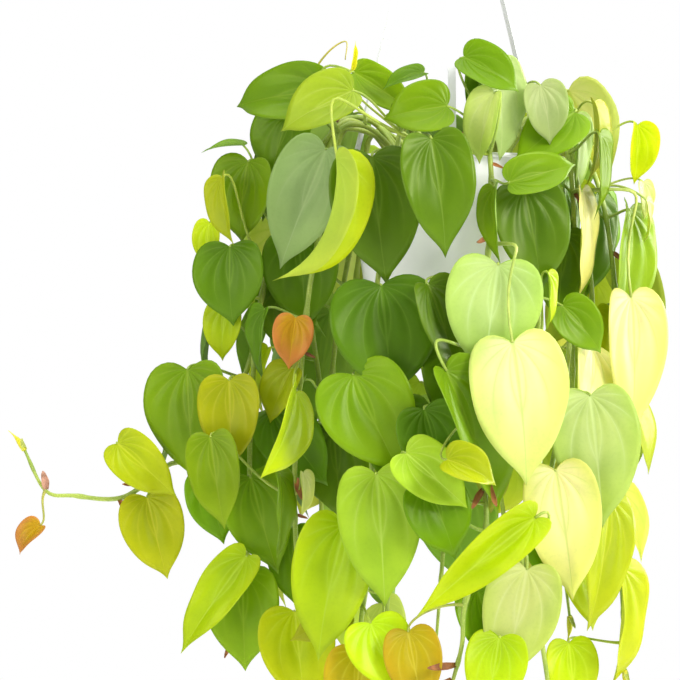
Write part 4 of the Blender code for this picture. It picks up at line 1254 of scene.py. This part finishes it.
def make_pot(made):
    """The pot, with a rolled rim, a rounded snap bead and eased edges."""
    bead = BEAD_HEIGHT + BEAD_WIDTH
    lip = RIM_THICKNESS / 2
    rolled = []
    for step in range(ROUNDED_STEPS + 1):
        angle = math.pi * (step / ROUNDED_STEPS - 0.5)
        rolled.append((RIM_RADIUS - lip + lip * math.cos(angle), RIM_TOP - lip + lip * math.sin(angle)))
    profile = [
        (0, BASE_Z), (BASE_RADIUS - 1.5 * MM, BASE_Z), (BASE_RADIUS, BASE_Z + 1.2 * MM),
        (wall_radius(BEAD_HEIGHT), BASE_Z + BEAD_HEIGHT), *bead_arc(wall_radius(bead), BEAD_DEPTH),
        (wall_radius(bead), BASE_Z + bead), (wall_radius(POT_HEIGHT * 0.5), BASE_Z + POT_HEIGHT * 0.5),
        (WALL_TOP_RADIUS, RIM_TOP - RIM_THICKNESS - 0.6 * MM),
        (WALL_TOP_RADIUS + 0.8 * MM, RIM_TOP - RIM_THICKNESS), *rolled,
        (WALL_TOP_RADIUS - WALL + 0.8 * MM, RIM_TOP), (WALL_TOP_RADIUS - WALL, RIM_TOP - 0.8 * MM),
        (WALL_TOP_RADIUS - WALL, RIM_TOP - RIM_THICKNESS), (wall_radius(FLOOR) - WALL, BASE_Z + FLOOR),
        (0, BASE_Z + FLOOR),
    ]
    pot = lathe("pot_moulded", profile, made)
    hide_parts("pot")
    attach(pot, "root")


def make_saucer(made):
    """The saucer, snapped over the pot's bead."""
    seat = BASE_Z - GAP
    around = wall_radius(BEAD_HEIGHT) + BEAD_DEPTH + GAP
    outside = around + SAUCER_WALL
    lip = BASE_Z + BEAD_HEIGHT + BEAD_WIDTH + SAUCER_LIP
    profile = [
        (0, seat - SAUCER_WELL - SAUCER_WALL), (BASE_RADIUS - SAUCER_SEAT, seat - SAUCER_WELL - SAUCER_WALL),
        (BASE_RADIUS, seat - SAUCER_WALL), (outside - 1.0 * MM, seat + 0.2 * MM),
        (outside, seat + SAUCER_WALL), (outside, lip - 0.8 * MM),
        (outside - 0.4 * MM, lip - 0.2 * MM), (outside - 0.9 * MM, lip),
        (around + 0.2 * MM, lip), (around, seat), (BASE_RADIUS - SAUCER_SEAT + SAUCER_WALL, seat),
        (BASE_RADIUS - SAUCER_SEAT, seat - SAUCER_WELL), (0, seat - SAUCER_WELL),
    ]
    saucer = lathe("saucer_moulded", profile, made)
    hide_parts("saucer")
    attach(saucer, "root")


CRUMB_CORNERS = ((1, 0, 0), (0, 1, 0), (-1, 0, 0), (0, -1, 0), (0, 0, 1), (0, 0, -1))
CRUMB_FACES = ((0, 1, 4), (1, 2, 4), (2, 3, 4), (3, 0, 4), (1, 0, 5), (2, 1, 5), (3, 2, 5), (0, 3, 5))
CRUMB_COLOURS = ((0.10, 0.050, 0.022), (0.055, 0.030, 0.016), (0.17, 0.095, 0.045), (0.62, 0.60, 0.55))
CRUMBS = 420
SOIL_COLOUR = (0.035, 0.020, 0.011)
SOIL_RINGS = 26
SOIL_SIDES = 96


def make_soil(made):
    """Rough potting mix, with crumbs of bark and perlite on it."""
    level = wall_radius(POT_HEIGHT - SOIL_DROP) - WALL - GAP
    foot = wall_radius(FLOOR) - WALL - GAP
    rings, sides = SOIL_RINGS, SOIL_SIDES
    bottom = BASE_Z + FLOOR + GAP
    points = [up(bottom), *(on_circle(foot, i, sides, bottom) for i in range(sides))]
    for ring in range(rings, 0, -1):
        share = ring / rings
        for i in range(sides):
            spot = on_circle(level * share, i, sides)
            rough = noise.noise(spot * 90) * 1.6 + noise.noise(spot * 260) * 1.2
            height = SOIL_CROWN_TOP - SOIL_CROWN * share**2 + rough * MM * min(1, 6 * (1 - share) + 0.2)
            points.append(spot + up(height))
    points.append(up(SOIL_CROWN_TOP))
    faces = []
    for i in range(sides):
        j = (i + 1) % sides
        faces.append((0, 1 + j, 1 + i))
        for ring in range(rings):
            start = 1 + ring * sides
            faces.append((start + i, start + j, start + sides + j, start + sides + i))
        start = 1 + rings * sides
        faces.append((start + i, start + j, len(points) - 1))
    shell = Shell()
    shell.add(points, faces, {"paint": np.tile((*SOIL_COLOUR, 1.0), (len(points), 1))}, 0)
    rng = random.Random("crumbs")
    for _ in range(CRUMBS):
        angle = rng.uniform(0, 2 * math.pi)
        distance = level * 0.97 * math.sqrt(rng.random())
        size = rng.uniform(0.7, 2.6) * MM
        centre = Vector((distance * math.cos(angle), distance * math.sin(angle), 0))
        centre.z = SOIL_CROWN_TOP - SOIL_CROWN * (distance / level) ** 2 + 0.3 * size
        colour = rng.choice(CRUMB_COLOURS)
        flat = rng.uniform(0.4, 0.9)
        lump = []
        for corner in CRUMB_CORNERS:
            way = Vector(corner).normalized() * size * rng.uniform(0.6, 1.2)
            lump.append(centre + Vector((way.x, way.y, way.z * flat)))
        shell.add(lump, CRUMB_FACES, {"paint": np.tile((*colour, 1.0), (len(lump), 1))}, 0)
    soil = shell.build("soil_crumbs", [made])
    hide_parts("soil")
    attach(soil, "root")


def make_basket():
    """The pot, saucer and soil, and materials for the solids that stay as they are."""
    white = plastic_material("basket_plastic", (0.93, 0.93, 0.92), 0.38)
    gloss = plastic_material("hanger_plastic", (0.80, 0.81, 0.80), 0.26)
    label = plastic_material("label_plastic", (0.012, 0.075, 0.060), 0.42)
    make_pot(white)
    make_saucer(white)
    make_soil(soil_material())
    for name in ("hook", "strap_front", "strap_left", "strap_right", "plant_label"):
        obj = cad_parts[name]
        obj.data.materials.clear()
        obj.data.materials.append(label if name == "plant_label" else gloss)


# ---------------------------------------------------------------- the studio

VIEW_WIDTH = 510 * MM  # how much the camera takes in at the foliage
VIEW_CENTRE = (-85 * MM, -142 * MM)  # across from the pot's axis, and up from the rim
FOLIAGE_DEPTH = 110 * MM  # how far in front of the axis that is
CAMERA_DISTANCE = 3.0
SENSOR = 36.0
FLOOR_DROP = 0.45  # from the lowest leaf to the floor
FLOOR_RADIUS = 3.4
WORLD_LIGHT = 0.50


def make_camera():
    """A level camera in front of the plant."""
    data = bpy.data.cameras.new("camera")
    data.sensor_width = SENSOR
    data.lens = SENSOR * CAMERA_DISTANCE / VIEW_WIDTH
    camera = bpy.data.objects.new("camera", data)
    camera.location = (VIEW_CENTRE[0], -FOLIAGE_DEPTH - CAMERA_DISTANCE, RIM_TOP + VIEW_CENTRE[1])
    camera.rotation_euler = (math.pi / 2, 0, 0)
    bpy.context.scene.collection.objects.link(camera)
    bpy.context.scene.camera = camera


def area_light(name, place, target, size, power):
    """A soft round light at this place, turned to the target."""
    data = bpy.data.lights.new(name, "AREA")
    data.shape = "DISK"
    data.size = size
    data.energy = power
    light = bpy.data.objects.new(name, data)
    light.location = place
    light.rotation_euler = (Vector(target) - Vector(place)).to_track_quat("-Z", "Y").to_euler()
    bpy.context.scene.collection.objects.link(light)


def make_studio():
    """Soft light from all round, white to the camera; three side lights, one above, and a pale floor."""
    world = bpy.data.worlds.new("studio")
    world.use_nodes = True
    tree = world.node_tree
    background = tree.nodes["Background"]
    background.inputs["Color"].default_value = (1, 1, 1, 1)
    seen = tree.nodes.new("ShaderNodeBackground")
    seen.inputs["Color"].default_value = (1, 1, 1, 1)
    background.inputs["Strength"].default_value = WORLD_LIGHT
    path = tree.nodes.new("ShaderNodeLightPath")
    mix = tree.nodes.new("ShaderNodeMixShader")
    tree.links.new(path.outputs["Is Camera Ray"], mix.inputs[0])
    tree.links.new(background.outputs[0], mix.inputs[1])
    tree.links.new(seen.outputs[0], mix.inputs[2])
    tree.links.new(mix.outputs[0], tree.nodes["World Output"].inputs["Surface"])
    bpy.context.scene.world = world
    bpy.context.scene.view_settings.view_transform = "Standard"
    middle = (0, 0, RIM_TOP + VIEW_CENTRE[1])
    area_light("key", (1.7, -1.9, RIM_TOP + 0.9), middle, 1.2, 64)
    area_light("window", (1.9, 0.7, RIM_TOP + 0.3), middle, 1.2, 50)
    area_light("top", (0, -0.2, 2.4), (0, 0, RIM_TOP), 5.0, 120)
    area_light("fill", (-2.0, -1.6, RIM_TOP + 0.2), middle, 1.6, 20)

    bpy.ops.mesh.primitive_circle_add(vertices=96, radius=FLOOR_RADIUS, fill_type="NGON")
    floor = bpy.context.object
    floor.name = "floor"
    floor.location = (0, 0, CAD_LOW.z - FLOOR_DROP)
    pale = Nodes("floor")
    speck = pale.noise(3.0, 2.0, pale.place())
    pale.surface(Base_Color=pale.mix(speck, (0.90, 0.90, 0.89), (0.94, 0.94, 0.93)), Roughness=0.7)
    floor.data.materials.append(pale.material)


make_camera()
make_studio()
make_basket()
green = [leaf_material(), stalk_material()]
in_place = make_plant(green)
make_filling(in_place, green)
fine_lines = [smooth_line(vine_points(vine), VINE_STEP) for vine in VINES]
make_sheaths(fine_lines, papery_material())
make_tips(fine_lines + [trail_line(trail, VINE_STEP) for trail in TRAILS], [green[1]])

bpy.context.view_layer.update()
